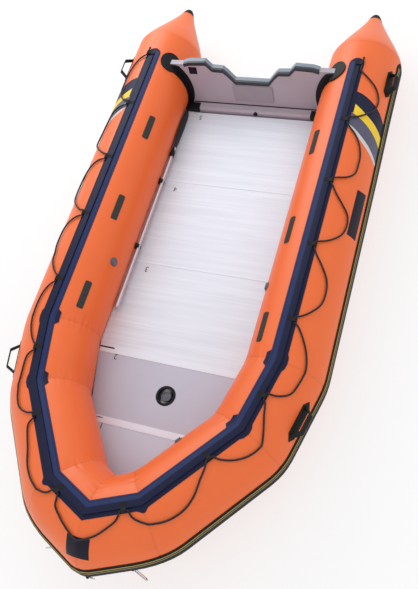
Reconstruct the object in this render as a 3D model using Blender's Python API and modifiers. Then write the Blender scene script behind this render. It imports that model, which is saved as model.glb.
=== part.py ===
# Inflatable rescue boat: two side chambers and a bow chamber round a board floor and a stepped transom.
# X points to port, Y aft and Z up. The origin is on the ground under the middle of the boat.
# Stations are measured forward from the aft end of the top strip, angles on a tube from its top, outboard
# positive, and lifts from the tube's skin.

import math
from collections import namedtuple

import bmesh
import bpy
from mathutils import Matrix, Vector

# Air between touching pieces, and how far a cutter runs past its cut
gap = 0.0003
overrun = 0.004
merge = 0.00002
angle_merge = 0.01

# Tubes. Each bend is given as its share of the bow station, the half beam and the bow's rise
tube_radius = 0.25
tube_sides = 48
half_beam = 0.759
inner_line = half_beam - tube_radius
bow_station = 3.302
bow_rise = 0.153
bend_shares = ((0.670, 1.0, 0.0), (0.804, 0.866, 0.162), (0.9646, 0.345, 0.820), (1.0, 0.0, 1.0))

# Stern cones, as shares of the cone's length and of the tube's radius
cone_start = 0.153
cone_length = 0.447
cone_toe_in = 0.016
cone_shares = ((0.10, 0.945), (0.28, 0.79), (0.55, 0.53), (0.80, 0.30), (1.0, 0.148))
tip_radius = 0.033
tip_length = 0.028
tip_shares = ((0.0, 1.0), (0.55, 0.93), (0.86, 0.6), (1.0, 0.0))
spigot_radius = 0.018
spigot_length = 0.014

# Rub strake round the outside
strake_width = 0.100
strake_flange = 0.0035
strake_body = 0.066
strake_lift = 0.013
strake_groove = 0.0035
strake_groove_spread = 0.013
strake_edge_share = 0.75
strake_shoulder_share = 0.35
strake_tail = 0.135
strake_tail_taper = 0.05
strake_tail_shares = ((0.0, 0.45, 0.35), (0.5, 0.8, 0.7), (1.0, 1.0, 1.0))
strake_angles_by_station = ((0.0, 79.5), (0.35, 79.5), (0.85, 84.5), (2.2, 89.0))

# Top strip with its ridge, collars at the bends and rope keepers
strip_inboard = 0.059
strip_outboard = 0.0414
strip_thickness = 0.002
ridge_width = 0.037
ridge_height = 0.012
ridge_top_share = 0.93
ridge_nose_share = 0.15
ridge_start = 0.065
ridge_ramp = 0.02
collar_length = 0.11
collar_chamfer = 0.02
collar_inboard = 0.084
collar_outboard = 0.050
lug_length = 0.058
lug_outboard = 0.054
rope_radius = 0.0055
rope_clearance = 0.0005
keeper_offset = 0.0314
keeper_lift = 0.0115
keeper_foot = 0.019
keeper_wall = 0.0028
keeper_length = 0.030
keeper_shares = (0.014, 0.143, 0.273, 0.400, 0.538, 0.673, 0.803, 0.945)

# Grab line: (share of the way from one keeper to the next, angle on the tube) for each bight
bight_lift = 0.0088
rope_tail = 0.030
port_bights = (
    ((0.13, 8), (0.24, 22), (0.36, 37), (0.52, 45), (0.69, 42), (0.81, 32), (0.91, 20)),
    ((0.11, 12), (0.20, 22), (0.32, 31), (0.47, 37), (0.63, 38), (0.78, 36), (0.89, 25)),
    ((0.09, 11), (0.20, 19), (0.31, 30), (0.43, 41), (0.60, 43), (0.75, 37), (0.89, 22)),
    ((0.12, 12), (0.22, 21), (0.37, 33), (0.52, 37), (0.69, 35), (0.83, 25), (0.92, 15)),
    ((0.07, 13), (0.18, 22), (0.33, 31), (0.50, 36), (0.68, 36), (0.83, 33), (0.93, 20)),
    ((0.08, 11), (0.21, 17), (0.35, 25), (0.50, 32), (0.66, 32), (0.80, 26), (0.91, 16)),
    ((0.10, 13), (0.21, 21), (0.33, 31), (0.47, 37), (0.63, 36), (0.78, 29), (0.92, 18)),
)
starboard_bights = (
    ((0.10, 20), (0.23, 30), (0.37, 35), (0.52, 37), (0.68, 36), (0.82, 30), (0.92, 20)),
    ((0.06, 22), (0.15, 35), (0.33, 40), (0.50, 44), (0.67, 49), (0.80, 36), (0.92, 18)),
    ((0.06, 22), (0.16, 36), (0.31, 46), (0.50, 50), (0.68, 46), (0.82, 33), (0.93, 18)),
    ((0.07, 22), (0.18, 38), (0.32, 43), (0.45, 42), (0.58, 36), (0.71, 32), (0.88, 18)),
    ((0.10, 17), (0.22, 24), (0.37, 26), (0.50, 25), (0.66, 24), (0.80, 19), (0.92, 12)),
    ((0.08, 17), (0.18, 21), (0.33, 22), (0.50, 24), (0.66, 29), (0.80, 28), (0.92, 17)),
    ((0.08, 18), (0.20, 22), (0.35, 25), (0.50, 30), (0.65, 29), (0.80, 23), (0.92, 17)),
)
bow_bight_ports = ((0.20, 16), (0.40, 23), (0.62, 29), (0.83, 31))
bow_bight_starboards = ((0.20, 19), (0.40, 24), (0.62, 28), (0.83, 30))

# Floor
floor_level = 0.100
board_thickness = 0.018
painted_boards = 2
board_side_gap = 0.010
floor_chord = math.sqrt(tube_radius**2 - (tube_radius - floor_level)**2)
board_half_width = half_beam - floor_chord - board_side_gap
board_edge = 0.002
board_joints = (0.24, 0.87, 1.55, 2.22, 2.68)
board_tube_clearance = 0.003
nose_station = 3.02
nose_shares = ((0.35, 0.84), (0.59, 0.69), (0.79, 0.55), (0.93, 0.38), (0.985, 0.2), (1.0, 0.0))
joiner_web = 0.003
joiner_flange = 0.002
joiner_widths = (0.044, 0.044, 0.014, 0.014)
joiner_names = ("1_2", "2_3", "3_4", "4_5")
stringer_wall = 0.0025
stringer_reach = 0.012
stringer_front = 2.18
stringer_back = 0.245

# Access port in the second board, over the keel valve
port_station = 2.444
port_offset = 0.014
port_radius = 0.059
port_rim = 0.066
port_rim_height = 0.003
port_bore = 0.050
valve_radius = 0.034
valve_height = 0.013
valve_shares = (
    (0.0, 0.85), (0.35, 0.85), (0.35, 0.6), (0.73, 0.6), (0.76, 1.0), (0.91, 1.0), (1.0, 0.7), (1.0, 0.0), (0.0, 0.0)
)

# Bottom fabric and keel tube
sheet_thickness = 0.003
sheet_back = 0.10
lap_angles = (-153.75, -161.25, -168.75)
sheet_front_share = 0.93
sheet_nose = 0.08
sheet_nose_power = 6
sheet_columns = 6
sheet_row_shares = (0.2, 0.4, 0.6, 0.8)
sheet_flare = 2.5
keel_rise_station = 2.95
keel_rise_power = 2.2
keel_radius = 0.034
keel_back = 0.34
keel_front = 2.84
keel_flat = keel_radius * math.cos(math.pi / 10)
keel_nose_shares = ((0.0, 0.55), (0.012, 0.85), (0.03, 1.0), (0.94, 1.0), (0.98, 0.8), (1.0, 0.5))

# Transom, given at the height of the tubes' axis, with its outline as (half width, height over that axis)
transom_station = 0.125
transom_lean = math.tan(math.radians(10))
transom_thickness = 0.038
recess_level = 0.090
recess_half_width = 0.128
recess_ramp_level = 0.156
ledge_level = 0.183
ledge_end_level = 0.187
shoulder_level = 0.238
shoulder_end_level = 0.231
corner_level = 0.216
transom_tuck = 0.001
transom_reach = inner_line + transom_tuck
transom_step_shares = (0.353, 0.408, 0.569, 0.657, 0.902, 1.0)
transom_levels = (
    recess_ramp_level, ledge_level, ledge_end_level, shoulder_level, shoulder_end_level, corner_level
)
transom_steps = [(recess_half_width, recess_level)]
transom_steps += [(transom_reach * share, level) for share, level in zip(transom_step_shares, transom_levels)]
transom_foot_shares = (0.97, 0.35)
transom_foot_clearance = 0.006
cap_thickness = 0.004
cap_depth = 0.016
cap_inset = 0.005
cap_reach = transom_reach - cap_inset

# Transom holders
holder_base = 0.006
holder_width = 0.125
holder_wall = 0.010
holder_wall_height = 0.040
holder_wall_ramp = 0.046
holder_slot_clearance = 0.0006
holder_top_angle = -31.0
holder_bottom_angle = -124.0
head_radius = 0.075
head_thickness = 0.010
head_angle = -35.0
head_clearance = 0.004

# Motor pads
pad_half_width = 0.150
pad_thickness = 0.008
inner_pad_top = 0.062
inner_pad_bottom = -0.075
outer_pad_top = 0.070
outer_pad_bottom = -0.120

# Foot beam and drain plug
beam_depth = 0.062
beam_top = 0.134
beam_side_gap = 0.023
beam_half_width = inner_line - beam_side_gap
beam_chamfer = 0.014
drain_offset = 0.015
drain_stem_radius = 0.010
drain_stem_length = 0.030
drain_knob_radius = 0.015
drain_knob_length = 0.014
drain_knob_edge_share = 0.7
drain_height = 0.118

# Handles: (name, distance along the tube, clearance to the strake)
handle_places = (("stern", 0.107, 0.0118), ("bow", 2.440, 0.0271))
handle_length = 0.225
handle_width = 0.064
handle_point_share = 0.72
handle_patch = 0.003
strap_width = 0.030
strap_thickness = 0.006
strap_height = 0.056
strap_foot = 0.165
strap_foot_thickness = 0.0084
strap_foot_height = 0.006
strap_top = 0.100
strap_top_inset = 0.0036

# Side pads on the inner side of the tubes
side_pad_stations = (0.668, 1.336, 1.998)
side_pad_angle = -40.0
side_pad_length = 0.190
side_pad_width = 0.045
side_pad_thickness = 0.003
side_pad_corner = 0.010

# Towing rings at the bow: one in the middle and a longer link each side of it, under the strake
ring_angle = 112.5
ring_back = 0.165
ring_wire = 0.004
ring_width = 0.060
ring_depth = 0.058
link_width = 0.034
link_depth = 0.092
ring_patch_radius = 0.038
ring_patch_thickness = 0.0025
ring_loop_width = 0.026
bow_loop_width = 0.010
bow_loop_slack = 0.0027
ring_loop_wall = 0.003
ring_loop_foot_share = 2.2

# Oars and their clips, placed from the floor and from the tube's side at that height
oar_rise = 0.053
oar_stand_off = 0.0256
oar_z = floor_level + oar_rise
oar_x = half_beam - math.sqrt(tube_radius**2 - (tube_radius - oar_z)**2) - oar_stand_off
shaft_radius = 0.013
shaft_back = 0.62
shaft_front = 1.83
grip_radius = 0.0155
grip_length = 0.11
grip_shares = ((0.0, 1.0), (0.94, 1.06), (1.0, 0.7))
blade_back = 0.276
blade_front = 0.700
blade_half_width = 0.044
blade_thickness = 0.006
blade_shares = (
    (0.0, 0.45, 0.5), (0.03, 0.74, 0.8), (0.10, 0.97, 1.0), (0.35, 1.0, 1.0), (0.62, 0.88, 1.2), (0.80, 0.62, 1.6)
)
blade_neck_radius = 0.0175
blade_neck_shares = (0.92, 1.0)
clip_stations = (0.923, 1.466)
clip_length = 0.026
clip_wall = 0.004
clip_clearance = 0.0006
clip_spread = 0.030
clip_mouth_share = 0.8

# Chamber valves, each at (distance along the tube, angle)
side_valve_place = (1.70, -66.0)
bow_valve_place = (2.98, -62.0)
chamber_valve_radius = 0.031
chamber_valve_flange = 0.003
chamber_cap_radius = 0.023
chamber_cap_height = 0.008
chamber_cap_share = 0.9

round_steps = 24
oar_sides = 16
Run = namedtuple("Run", "start direction up out")


# Scene and surfaces

def clear_scene():
    for item in list(bpy.data.objects):
        bpy.data.objects.remove(item, do_unlink=True)


def make_surface(name, colour, roughness, metallic=0.0):
    surface = bpy.data.materials.new(name)
    surface.use_nodes = True
    shader = surface.node_tree.nodes["Principled BSDF"]
    shader.inputs["Base Color"].default_value = (*colour, 1.0)
    shader.inputs["Roughness"].default_value = roughness
    shader.inputs["Metallic"].default_value = metallic
    surface.diffuse_color = (*colour, 1.0)
    return surface


def add_part(name, mesh, surface, place=(0.0, 0.0, 0.0), smooth=False):
    bmesh.ops.recalc_face_normals(mesh, faces=mesh.faces)
    data = bpy.data.meshes.new(name)
    mesh.to_mesh(data)
    mesh.free()
    data.materials.append(surfaces[surface])
    if smooth:
        data.shade_smooth()
        data.set_sharp_from_angle(angle=math.radians(40))
    part = bpy.data.objects.new(name, data)
    part.location = place
    boat.objects.link(part)
    return part


def settled(part):
    # The part's mesh as its modifiers leave it; the part itself is removed
    graph = bpy.context.evaluated_depsgraph_get()
    data = bpy.data.meshes.new_from_object(part.evaluated_get(graph))
    mesh = bmesh.new()
    mesh.from_mesh(data)
    mesh.transform(part.matrix_world)
    bmesh.ops.remove_doubles(mesh, verts=mesh.verts, dist=merge)
    bpy.data.objects.remove(part, do_unlink=True)
    bpy.data.meshes.remove(data)
    return mesh


def mirror_half(part):
    mirror = part.modifiers.new("other side", "MIRROR")
    mirror.merge_threshold = merge
    return mirror


def starboard_copy(part, name, surface):
    mesh = bmesh.new()
    mesh.from_mesh(part.data)
    bmesh.ops.scale(mesh, vec=(-1, 1, 1), verts=mesh.verts)
    bmesh.ops.reverse_faces(mesh, faces=mesh.faces)
    place = Vector((-part.location.x, part.location.y, part.location.z))
    copy = add_part(name, mesh, surface, place, smooth=part.data.polygons[0].use_smooth)
    return copy


def combine(target, tool, operation):
    # Cuts or joins by a Boolean and settles the result, so that it can be bent afterwards
    change = target.modifiers.new("change", "BOOLEAN")
    change.operation = operation
    change.object = tool
    mesh = settled(target)
    bpy.data.objects.remove(tool, do_unlink=True)
    return mesh


# Solids modelled flat or in place

def box(low, high):
    mesh = bmesh.new()
    bmesh.ops.create_cube(mesh, size=1)
    size = Vector(high) - Vector(low)
    bmesh.ops.scale(mesh, vec=size, verts=mesh.verts)
    bmesh.ops.translate(mesh, vec=(Vector(low) + Vector(high)) / 2, verts=mesh.verts)
    return mesh


def cylinder(radius, low, high, sides=round_steps, top_radius=None):
    mesh = bmesh.new()
    bmesh.ops.create_cone(
        mesh,
        cap_ends=True,
        segments=sides,
        radius1=radius,
        radius2=radius if top_radius is None else top_radius,
        depth=high - low,
    )
    bmesh.ops.translate(mesh, vec=(0, 0, (low + high) / 2), verts=mesh.verts)
    return mesh


def plate(loops, low, high):
    # Flat outlines in XY, the first the outside and the others holes, as a plate from low to high
    curve = bpy.data.curves.new("outline", "CURVE")
    curve.dimensions = "2D"
    curve.fill_mode = "BOTH"
    curve.extrude = (high - low) / 2
    for loop in loops:
        spline = curve.splines.new("POLY")
        spline.points.add(len(loop) - 1)
        for point, corner in zip(spline.points, loop):
            point.co = (corner[0], corner[1], 0, 1)
        spline.use_cyclic_u = True
    outline = bpy.data.objects.new("outline", curve)
    outline.location.z = (low + high) / 2
    bpy.context.scene.collection.objects.link(outline)
    bpy.context.view_layer.update()
    mesh = settled(outline)
    bpy.data.curves.remove(curve)
    bmesh.ops.dissolve_limit(mesh, angle_limit=math.radians(0.1), verts=mesh.verts, edges=mesh.edges)
    bmesh.ops.recalc_face_normals(mesh, faces=mesh.faces)
    return mesh


def stand_up(mesh):
    # A plate drawn in XY becomes one drawn in XZ, with its thickness along Y
    bmesh.ops.rotate(mesh, cent=(0, 0, 0), matrix=Matrix.Rotation(math.pi / 2, 3, "X"), verts=mesh.verts)
    return mesh


def loft(rings):
    # A solid through rings of equal count: the first ring's face is drawn out from ring to ring
    mesh = bmesh.new()
    face = mesh.faces.new([mesh.verts.new(point) for point in rings[0]])
    for number, ring in enumerate(rings[1:]):
        inner = face
        grown = bmesh.ops.extrude_face_region(mesh, geom=[face])["geom"]
        face = next(item for item in grown if isinstance(item, bmesh.types.BMFace))
        for vertex, point in zip(face.verts, ring):
            vertex.co = point
        if number:
            mesh.faces.remove(inner)
    bmesh.ops.recalc_face_normals(mesh, faces=mesh.faces)
    return mesh


def open_at(mesh, axis, level):
    # Takes away the faces that lie flat in a plane, where a mirrored half begins
    flat = [f for f in mesh.faces if all(abs(v.co[axis] - level) < merge for v in f.verts)]
    bmesh.ops.delete(mesh, geom=flat, context="FACES")
    return mesh


def turned(profile, steps=round_steps):
    # A profile of (radius, height), from the top down its outer side, turned round Z
    mesh = bmesh.new()
    points = [mesh.verts.new((radius, 0, height)) for radius, height in profile]
    for first, second in zip(points, points[1:]):
        mesh.edges.new((first, second))
    data = bpy.data.meshes.new("profile")
    mesh.to_mesh(data)
    mesh.free()
    part = bpy.data.objects.new("profile", data)
    bpy.context.scene.collection.objects.link(part)
    screw = part.modifiers.new("turn", "SCREW")
    screw.steps = steps
    screw.render_steps = steps
    screw.use_merge_vertices = True
    screw.merge_threshold = merge
    bpy.context.view_layer.update()
    return settled(part)


def wire(points, radius, closed=False, resolution=2, shares=None):
    # A round rod or rope along points
    curve = bpy.data.curves.new("wire", "CURVE")
    curve.dimensions = "3D"
    curve.bevel_depth = radius
    curve.bevel_resolution = resolution
    curve.use_fill_caps = not closed
    spline = curve.splines.new("POLY")
    spline.points.add(len(points) - 1)
    for number, (point, place) in enumerate(zip(spline.points, points)):
        point.co = (*place, 1)
        point.radius = shares[number] if shares else 1.0
    spline.use_cyclic_u = closed
    part = bpy.data.objects.new("wire", curve)
    bpy.context.scene.collection.objects.link(part)
    bpy.context.view_layer.update()
    mesh = settled(part)
    bpy.data.curves.remove(curve)
    bmesh.ops.recalc_face_normals(mesh, faces=mesh.faces)
    return mesh


def arc(centre, radius, start, end, steps):
    # Points on a circle in the plane, angles in degrees from the first axis
    turns = [math.radians(start + (end - start) * step / steps) for step in range(steps + 1)]
    return [(centre[0] + radius * math.cos(t), centre[1] + radius * math.sin(t)) for t in turns]


def rounded_rectangle(half_x, half_y, radius, steps=3):
    corners = ((1, 1, 0), (-1, 1, 90), (-1, -1, 180), (1, -1, 270))
    points = []
    for side_x, side_y, start in corners:
        centre = (side_x * (half_x - radius), side_y * (half_y - radius))
        points += arc(centre, radius, start, start + 90, steps)
    return points


# Tube geometry

facet = 2 * math.pi / tube_sides
corner_radius = tube_radius / math.cos(facet / 2)


def skin(angle):
    # Distance from the tube's axis to its faceted skin
    wrapped = (angle + facet / 2) % facet - facet / 2
    return tube_radius / math.cos(wrapped)


def arc_angles(start, end):
    # Both ends and the facet edges between them, in degrees
    step = math.degrees(facet)
    low, high = min(start, end), max(start, end)
    edge = (math.floor((low / step) - 0.5) + 1.5) * step
    angles = [low]
    while edge < high - angle_merge:
        if edge > low + angle_merge:
            angles.append(edge)
        edge += step
    angles.append(high)
    return angles if end > start else angles[::-1]


def tube_runs(shift):
    points = [Vector((half_beam, shift, tube_radius))]
    for ahead, wide, rise in bend_shares:
        points.append(Vector((half_beam * wide, shift - bow_station * ahead, tube_radius + bow_rise * rise)))
    found = []
    up = Vector((0, 0, 1))
    planes_found = [(points[0], Vector((0, 1, 0)))]
    for start, end in zip(points, points[1:]):
        direction = (end - start).normalized()
        if found:
            normal = (found[-1].direction + direction).normalized()
            up = up - 2 * up.dot(normal) * normal
            planes_found.append((start, normal))
        found.append(Run(start, direction, up, up.cross(direction)))
    planes_found.append((points[-1], Vector((1, 0, 0))))
    lengths = [0.0]
    for start, end in zip(points, points[1:]):
        lengths.append(lengths[-1] + (end - start).length)
    return found, planes_found, lengths


def mitre_point(plane, angle, distance):
    run = runs[max(plane - 1, 0)]
    start = run.start + distance * (math.cos(angle) * run.up + math.sin(angle) * run.out)
    where, normal = planes[plane]
    return start + (where - start).dot(normal) / run.direction.dot(normal) * run.direction


def tube_point(along, angle, distance):
    # A point beside the port tube; the way along it is shared out between the mitres on each side
    run = 0
    while run < len(runs) - 1 and along > bends[run + 1]:
        run += 1
    share = (along - bends[run]) / (bends[run + 1] - bends[run])
    start = mitre_point(run, angle, distance)
    return start + share * (mitre_point(run + 1, angle, distance) - start)


def square_point(along, angle, distance):
    # The same beside the straight run, where the way along is square to the tube on every side
    run = runs[0]
    return run.start + along * run.direction + distance * (math.cos(angle) * run.up + math.sin(angle) * run.out)


def skin_point(along, degrees, lift):
    angle = math.radians(degrees)
    return tube_point(along, angle, skin(angle) + gap + lift)


def wrap(mesh, along, degrees, lean=0.0):
    # Bends a piece modelled flat onto the port tube: X goes round it, Y forward along it, Z out from it.
    # It is creased at the tube's facet edges and mitres, so that its underside follows the skin.
    centre = math.radians(degrees)
    mesh.verts.ensure_lookup_table()
    around = [v.co.x for v in mesh.verts]
    forward = [v.co.y for v in mesh.verts]
    middle = centre - facet / 2
    first = math.ceil((middle + min(around) / tube_radius) / facet)
    last = math.floor((middle + max(around) / tube_radius) / facet)
    creases = [(edge * facet - middle) * tube_radius for edge in range(first, last + 1)]
    cuts = [(Vector((x, 0, 0)), Vector((1, 0, 0))) for x in creases]
    mitres = [b - along for b in bends if min(forward) < b - along < max(forward)]
    cuts += [(Vector((0, y, 0)), Vector((0, 1, 0))) for y in mitres]
    for cut, normal in cuts:
        everything = mesh.verts[:] + mesh.edges[:] + mesh.faces[:]
        bmesh.ops.bisect_plane(mesh, geom=everything, dist=merge, plane_co=cut, plane_no=normal)
    place = square_point if along + max(forward) < bends[1] else tube_point
    for vertex in mesh.verts:
        x, y, z = vertex.co
        angle = centre + x / tube_radius
        vertex.co = place(along + y, angle, skin(angle) + gap + z)
        vertex.co.y += lean * (vertex.co.z - tube_radius)
    bmesh.ops.recalc_face_normals(mesh, faces=mesh.faces)
    return mesh


def inner_wall(along, height):
    # Where the port tube's inner side stands at a height, by halving the angle between level and bottom
    low, high = math.radians(-90), math.radians(-179)
    for _ in range(30):
        middle = (low + high) / 2
        if tube_point(along, middle, corner_radius).z > height:
            low = middle
        else:
            high = middle
    return tube_point(along, low, corner_radius)


# Hull tubes

def tube_ring(plane):
    turns = [facet * (side + 0.5) for side in range(tube_sides)]
    return [mitre_point(plane, turn, corner_radius) for turn in turns]


def cone_rings():
    rings = []
    turns = [facet * (side + 0.5) for side in range(tube_sides)]
    start = runs[0].start + Vector((0, cone_start, 0))
    for ahead, wide in reversed(cone_shares):
        centre = start + Vector((-cone_toe_in * ahead, cone_length * ahead, 0))
        radius = corner_radius * wide
        rings.append([centre + radius * Vector((math.sin(t), 0, math.cos(t))) for t in turns])
    spigot = start + Vector((-cone_toe_in, cone_length, 0))
    foot = [spigot + spigot_radius * Vector((math.sin(t), 0, math.cos(t))) for t in turns]
    end = [point + Vector((0, spigot_length, 0)) for point in foot]
    base = [start + corner_radius * Vector((math.sin(t), 0, math.cos(t))) for t in turns]
    return [end, foot] + rings + [base]


def make_chambers():
    baffle_back = [point - gap / 2 * runs[1].direction for point in tube_ring(2)]
    mesh = loft(cone_rings() + [tube_ring(1), baffle_back])
    port = add_part("tube_chamber_port", mesh, "orange", smooth=True)
    starboard_copy(port, "tube_chamber_starboard", "orange")
    baffle_front = [point + gap / 2 * runs[2].direction for point in tube_ring(2)]
    mesh = open_at(loft([baffle_front, tube_ring(3), tube_ring(4)]), 0, 0.0)
    mirror_half(add_part("tube_chamber_bow", mesh, "orange", smooth=True))


def make_cone_tips():
    place = runs[0].start + Vector((-cone_toe_in, cone_start + cone_length + gap, 0))
    socket = spigot_radius + gap / math.cos(facet / 2)
    profile = [(tip_radius * wide, tip_length * high) for wide, high in tip_shares]
    profile += [(socket, 0), (socket, spigot_length + gap), (0, spigot_length + gap)]
    mesh = turned(profile, tube_sides)
    bmesh.ops.rotate(mesh, cent=(0, 0, 0), matrix=Matrix.Rotation(-math.pi / 2, 3, "X"), verts=mesh.verts)
    port = add_part("cone_tip_port", mesh, "black rubber", place, smooth=True)
    starboard_copy(port, "cone_tip_starboard", "black rubber")


# Strake, strip and rope

def strake_section(width_share, lift_share):
    # Half the strake's section from its middle outwards, then the other half, as (across, lift)
    half = strake_width / 2 * width_share
    body = strake_body / 2 * width_share
    edge = body - strake_lift * strake_shoulder_share
    low = strake_flange * lift_share
    high = strake_lift * lift_share
    deep = high - strake_groove * lift_share
    near = strake_groove_spread / 2 * width_share
    far = near + strake_groove
    side = [(near, high), (near, deep), (far, deep), (far, high), (edge, high)]
    side += [(body, high * strake_edge_share), (body + low, low), (half, low), (half, 0)]
    return [(-x, z) for x, z in reversed(side)] + side


def strake_angle(along):
    table = strake_angles_by_station
    if along <= table[0][0]:
        return table[0][1]
    for (start, first), (end, second) in zip(table, table[1:]):
        if along <= end:
            return first + (second - first) * (along - start) / (end - start)
    return table[-1][1]


def make_strake():
    level = strake_angles_by_station[0][1]
    stops = [(strake_tail_taper * share - strake_tail, wide, high) for share, wide, high in strake_tail_shares]
    stops += [(station, 1.0, 1.0) for station, _ in strake_angles_by_station[1:]]
    stops.append((bends[-1], 1.0, 1.0))
    rings = []
    for along, wide, high in stops:
        drift = math.radians(strake_angle(along) - level) * tube_radius
        rings.append([Vector((x + drift, along, z)) for x, z in strake_section(wide, high)])
    mesh = wrap(loft(rings), 0.0, level)
    mirror_half(add_part("rub_strake", open_at(mesh, 0, 0.0), "black rubber"))


def collar_side(back, front, near, far):
    # One side of a collar, from its back to its front, with its corners cut off
    return [(near, back), (far, back + collar_chamfer), (far, front - collar_chamfer), (near, front)]


def strip_outline():
    # The strip's flat outline with its collars at the bends, port side, round at the stern
    outer, inner = [], []
    for bend in bends[1:3]:
        back, front = bend - collar_length / 2, bend + collar_length / 2
        outer += collar_side(back, front, strip_outboard, collar_outboard)
        inner += collar_side(back, front, -strip_inboard, -collar_inboard)
    outer += collar_side(bends[3] - lug_length / 2, bends[3] + lug_length / 2, strip_outboard, lug_outboard)
    middle = (strip_outboard - strip_inboard) / 2
    radius = (strip_outboard + strip_inboard) / 2
    stern = arc((middle, radius), radius, 180, 360, 10)
    return stern + outer + [(strip_outboard, bends[-1]), (-strip_inboard, bends[-1])] + inner[::-1]


def keeper_along(number):
    return bends[-1] * keeper_shares[number]


def keeper_mesh(along):
    # One rope keeper: a round-topped block with the rope's bore, on the strip's outboard flange
    bore = rope_radius + rope_clearance
    outside = bore + keeper_wall
    foot = strip_thickness / 2
    shoulder = strip_thickness + keeper_wall / 2
    outline = [(-keeper_foot / 2, foot), (keeper_foot / 2, foot), (keeper_foot / 2, shoulder)]
    outline += arc((0, keeper_lift), outside, -25, 205, 8)
    outline.append((-keeper_foot / 2, shoulder))
    hole = arc((0, keeper_lift), bore / math.cos(math.pi / 10), 0, 324, 9)
    mesh = stand_up(plate([outline, hole], -keeper_length / 2, keeper_length / 2))
    bmesh.ops.translate(mesh, vec=(keeper_offset, along, 0), verts=mesh.verts)
    return mesh


def make_strip():
    flange = add_part("flange", plate([strip_outline()], 0, strip_thickness), "strip blue")
    half = ridge_width / 2
    sink = strip_thickness / 2
    low, high = ridge_start, bends[-1]
    top = half * ridge_top_share
    section = [(-half, sink), (-top, ridge_height), (top, ridge_height), (half, sink)]
    start = [Vector((x, low, sink + (z - sink) * ridge_nose_share)) for x, z in section]
    ramp = [Vector((x, low + ridge_ramp, z)) for x, z in section]
    end = [Vector((x, high, z)) for x, z in section]
    ridge = add_part("ridge", loft([start, ramp, end]), "strip blue")
    body = add_part("strip", combine(flange, ridge, "UNION"), "strip blue")
    keepers = bmesh.new()
    for number in range(len(keeper_shares)):
        one = keeper_mesh(keeper_along(number))
        data = bpy.data.meshes.new("keeper")
        one.to_mesh(data)
        one.free()
        keepers.from_mesh(data)
        bpy.data.meshes.remove(data)
    tool = add_part("keepers", keepers, "strip blue")
    mesh = wrap(combine(body, tool, "UNION"), 0.0, 0.0)
    mirror_half(add_part("top_strip", open_at(mesh, 0, 0.0), "strip blue"))


def smooth_through(points, steps):
    # A smooth curve through points, with a number of steps in all, ends included
    spans = len(points) - 1
    before = 2 * points[0] - points[1]
    after = 2 * points[-1] - points[-2]
    knots = [before] + points + [after]
    found = []
    for step in range(steps + 1):
        place = spans * step / steps
        span = min(int(place), spans - 1)
        t = place - span
        a, b, c, d = knots[span:span + 4]
        bend = (2 * a - 5 * b + 4 * c - d) * t ** 2 + (3 * b - a - 3 * c + d) * t ** 3
        found.append((2 * b + (c - a) * t + bend) / 2)
    return found


def rope_route(bights):
    # The rope as (along, angle, lift), straight through each keeper and in a bight from one to the next
    level = math.degrees(keeper_offset / tube_radius)
    half = keeper_length / 2 + overrun
    first = keeper_along(0)
    route = [Vector((first - keeper_length / 2 - rope_tail, level, keeper_lift))]
    for number, bight in enumerate(bights):
        start = keeper_along(number) + half
        end = keeper_along(number + 1) - half
        points = [Vector((start, level, keeper_lift))]
        span = keeper_along(number + 1) - keeper_along(number)
        points += [Vector((keeper_along(number) + span * share, angle, bight_lift)) for share, angle in bight]
        points.append(Vector((end, level, keeper_lift)))
        route.append(Vector((start - 2 * half, level, keeper_lift)))
        route += smooth_through(points, 8)
    last = keeper_along(len(bights))
    route.append(Vector((last - gap / 2, level, keeper_lift)))
    return with_mitres(route)


def with_mitres(route):
    # A rope point on each mitre that the route passes, so that it stays outside the tube
    found = [route[0]]
    for point in route[1:]:
        for bend in bends[1:-1]:
            if found[-1].x < bend < point.x:
                share = (bend - found[-1].x) / (point.x - found[-1].x)
                found.append(found[-1].lerp(point, share))
        found.append(point)
    return found


def rope_points(route, side=1):
    places = [skin_point(along, angle, lift) for along, angle, lift in route]
    return [Vector((side * place.x, place.y, place.z)) for place in places]


def make_rope():
    port = wire(rope_points(rope_route(port_bights)), rope_radius)
    add_part("grab_line_port", port, "black rope", smooth=True)
    starboard = wire(rope_points(rope_route(starboard_bights), -1), rope_radius)
    add_part("grab_line_starboard", starboard, "black rope", smooth=True)
    level = math.degrees(keeper_offset / tube_radius)
    last = keeper_along(len(keeper_shares) - 1)
    rest = bends[-1] - last
    halves = []
    for shares in (bow_bight_ports, bow_bight_starboards):
        half = [Vector((last + gap / 2, level, keeper_lift))]
        half.append(Vector((last + keeper_length / 2 + overrun, level, keeper_lift)))
        half += [Vector((last + rest * share, angle, bight_lift)) for share, angle in shares]
        halves.append(half)
    middle = Vector((bends[-1], (bow_bight_ports[-1][1] + bow_bight_starboards[-1][1]) / 2, bight_lift))
    port_side = rope_points([halves[0][0]] + smooth_through(halves[0][1:] + [middle], 10))
    starboard_side = rope_points([halves[1][0]] + smooth_through(halves[1][1:] + [middle], 10), -1)
    bow = wire(port_side + starboard_side[-2::-1], rope_radius)
    add_part("grab_line_bow", bow, "black rope", smooth=True)


# Bottom fabric and keel

def keel_centre():
    # The keel tube lies just under the boards' joiners
    return floor_level - board_thickness - gap - joiner_flange - gap - keel_flat


def hull_front():
    return shift - skin_point(bends[-1], lap_angles[0], 0).y


def keel_height(station):
    # The upper face of the bottom fabric on the centre line, level aft and rising to the bow
    level = keel_centre() - keel_flat - gap
    if station <= keel_rise_station:
        return level
    share = (station - keel_rise_station) / (hull_front() - keel_rise_station)
    return level + (skin_point(bends[-1], lap_angles[0], 0).z - level) * share ** keel_rise_power


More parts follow.
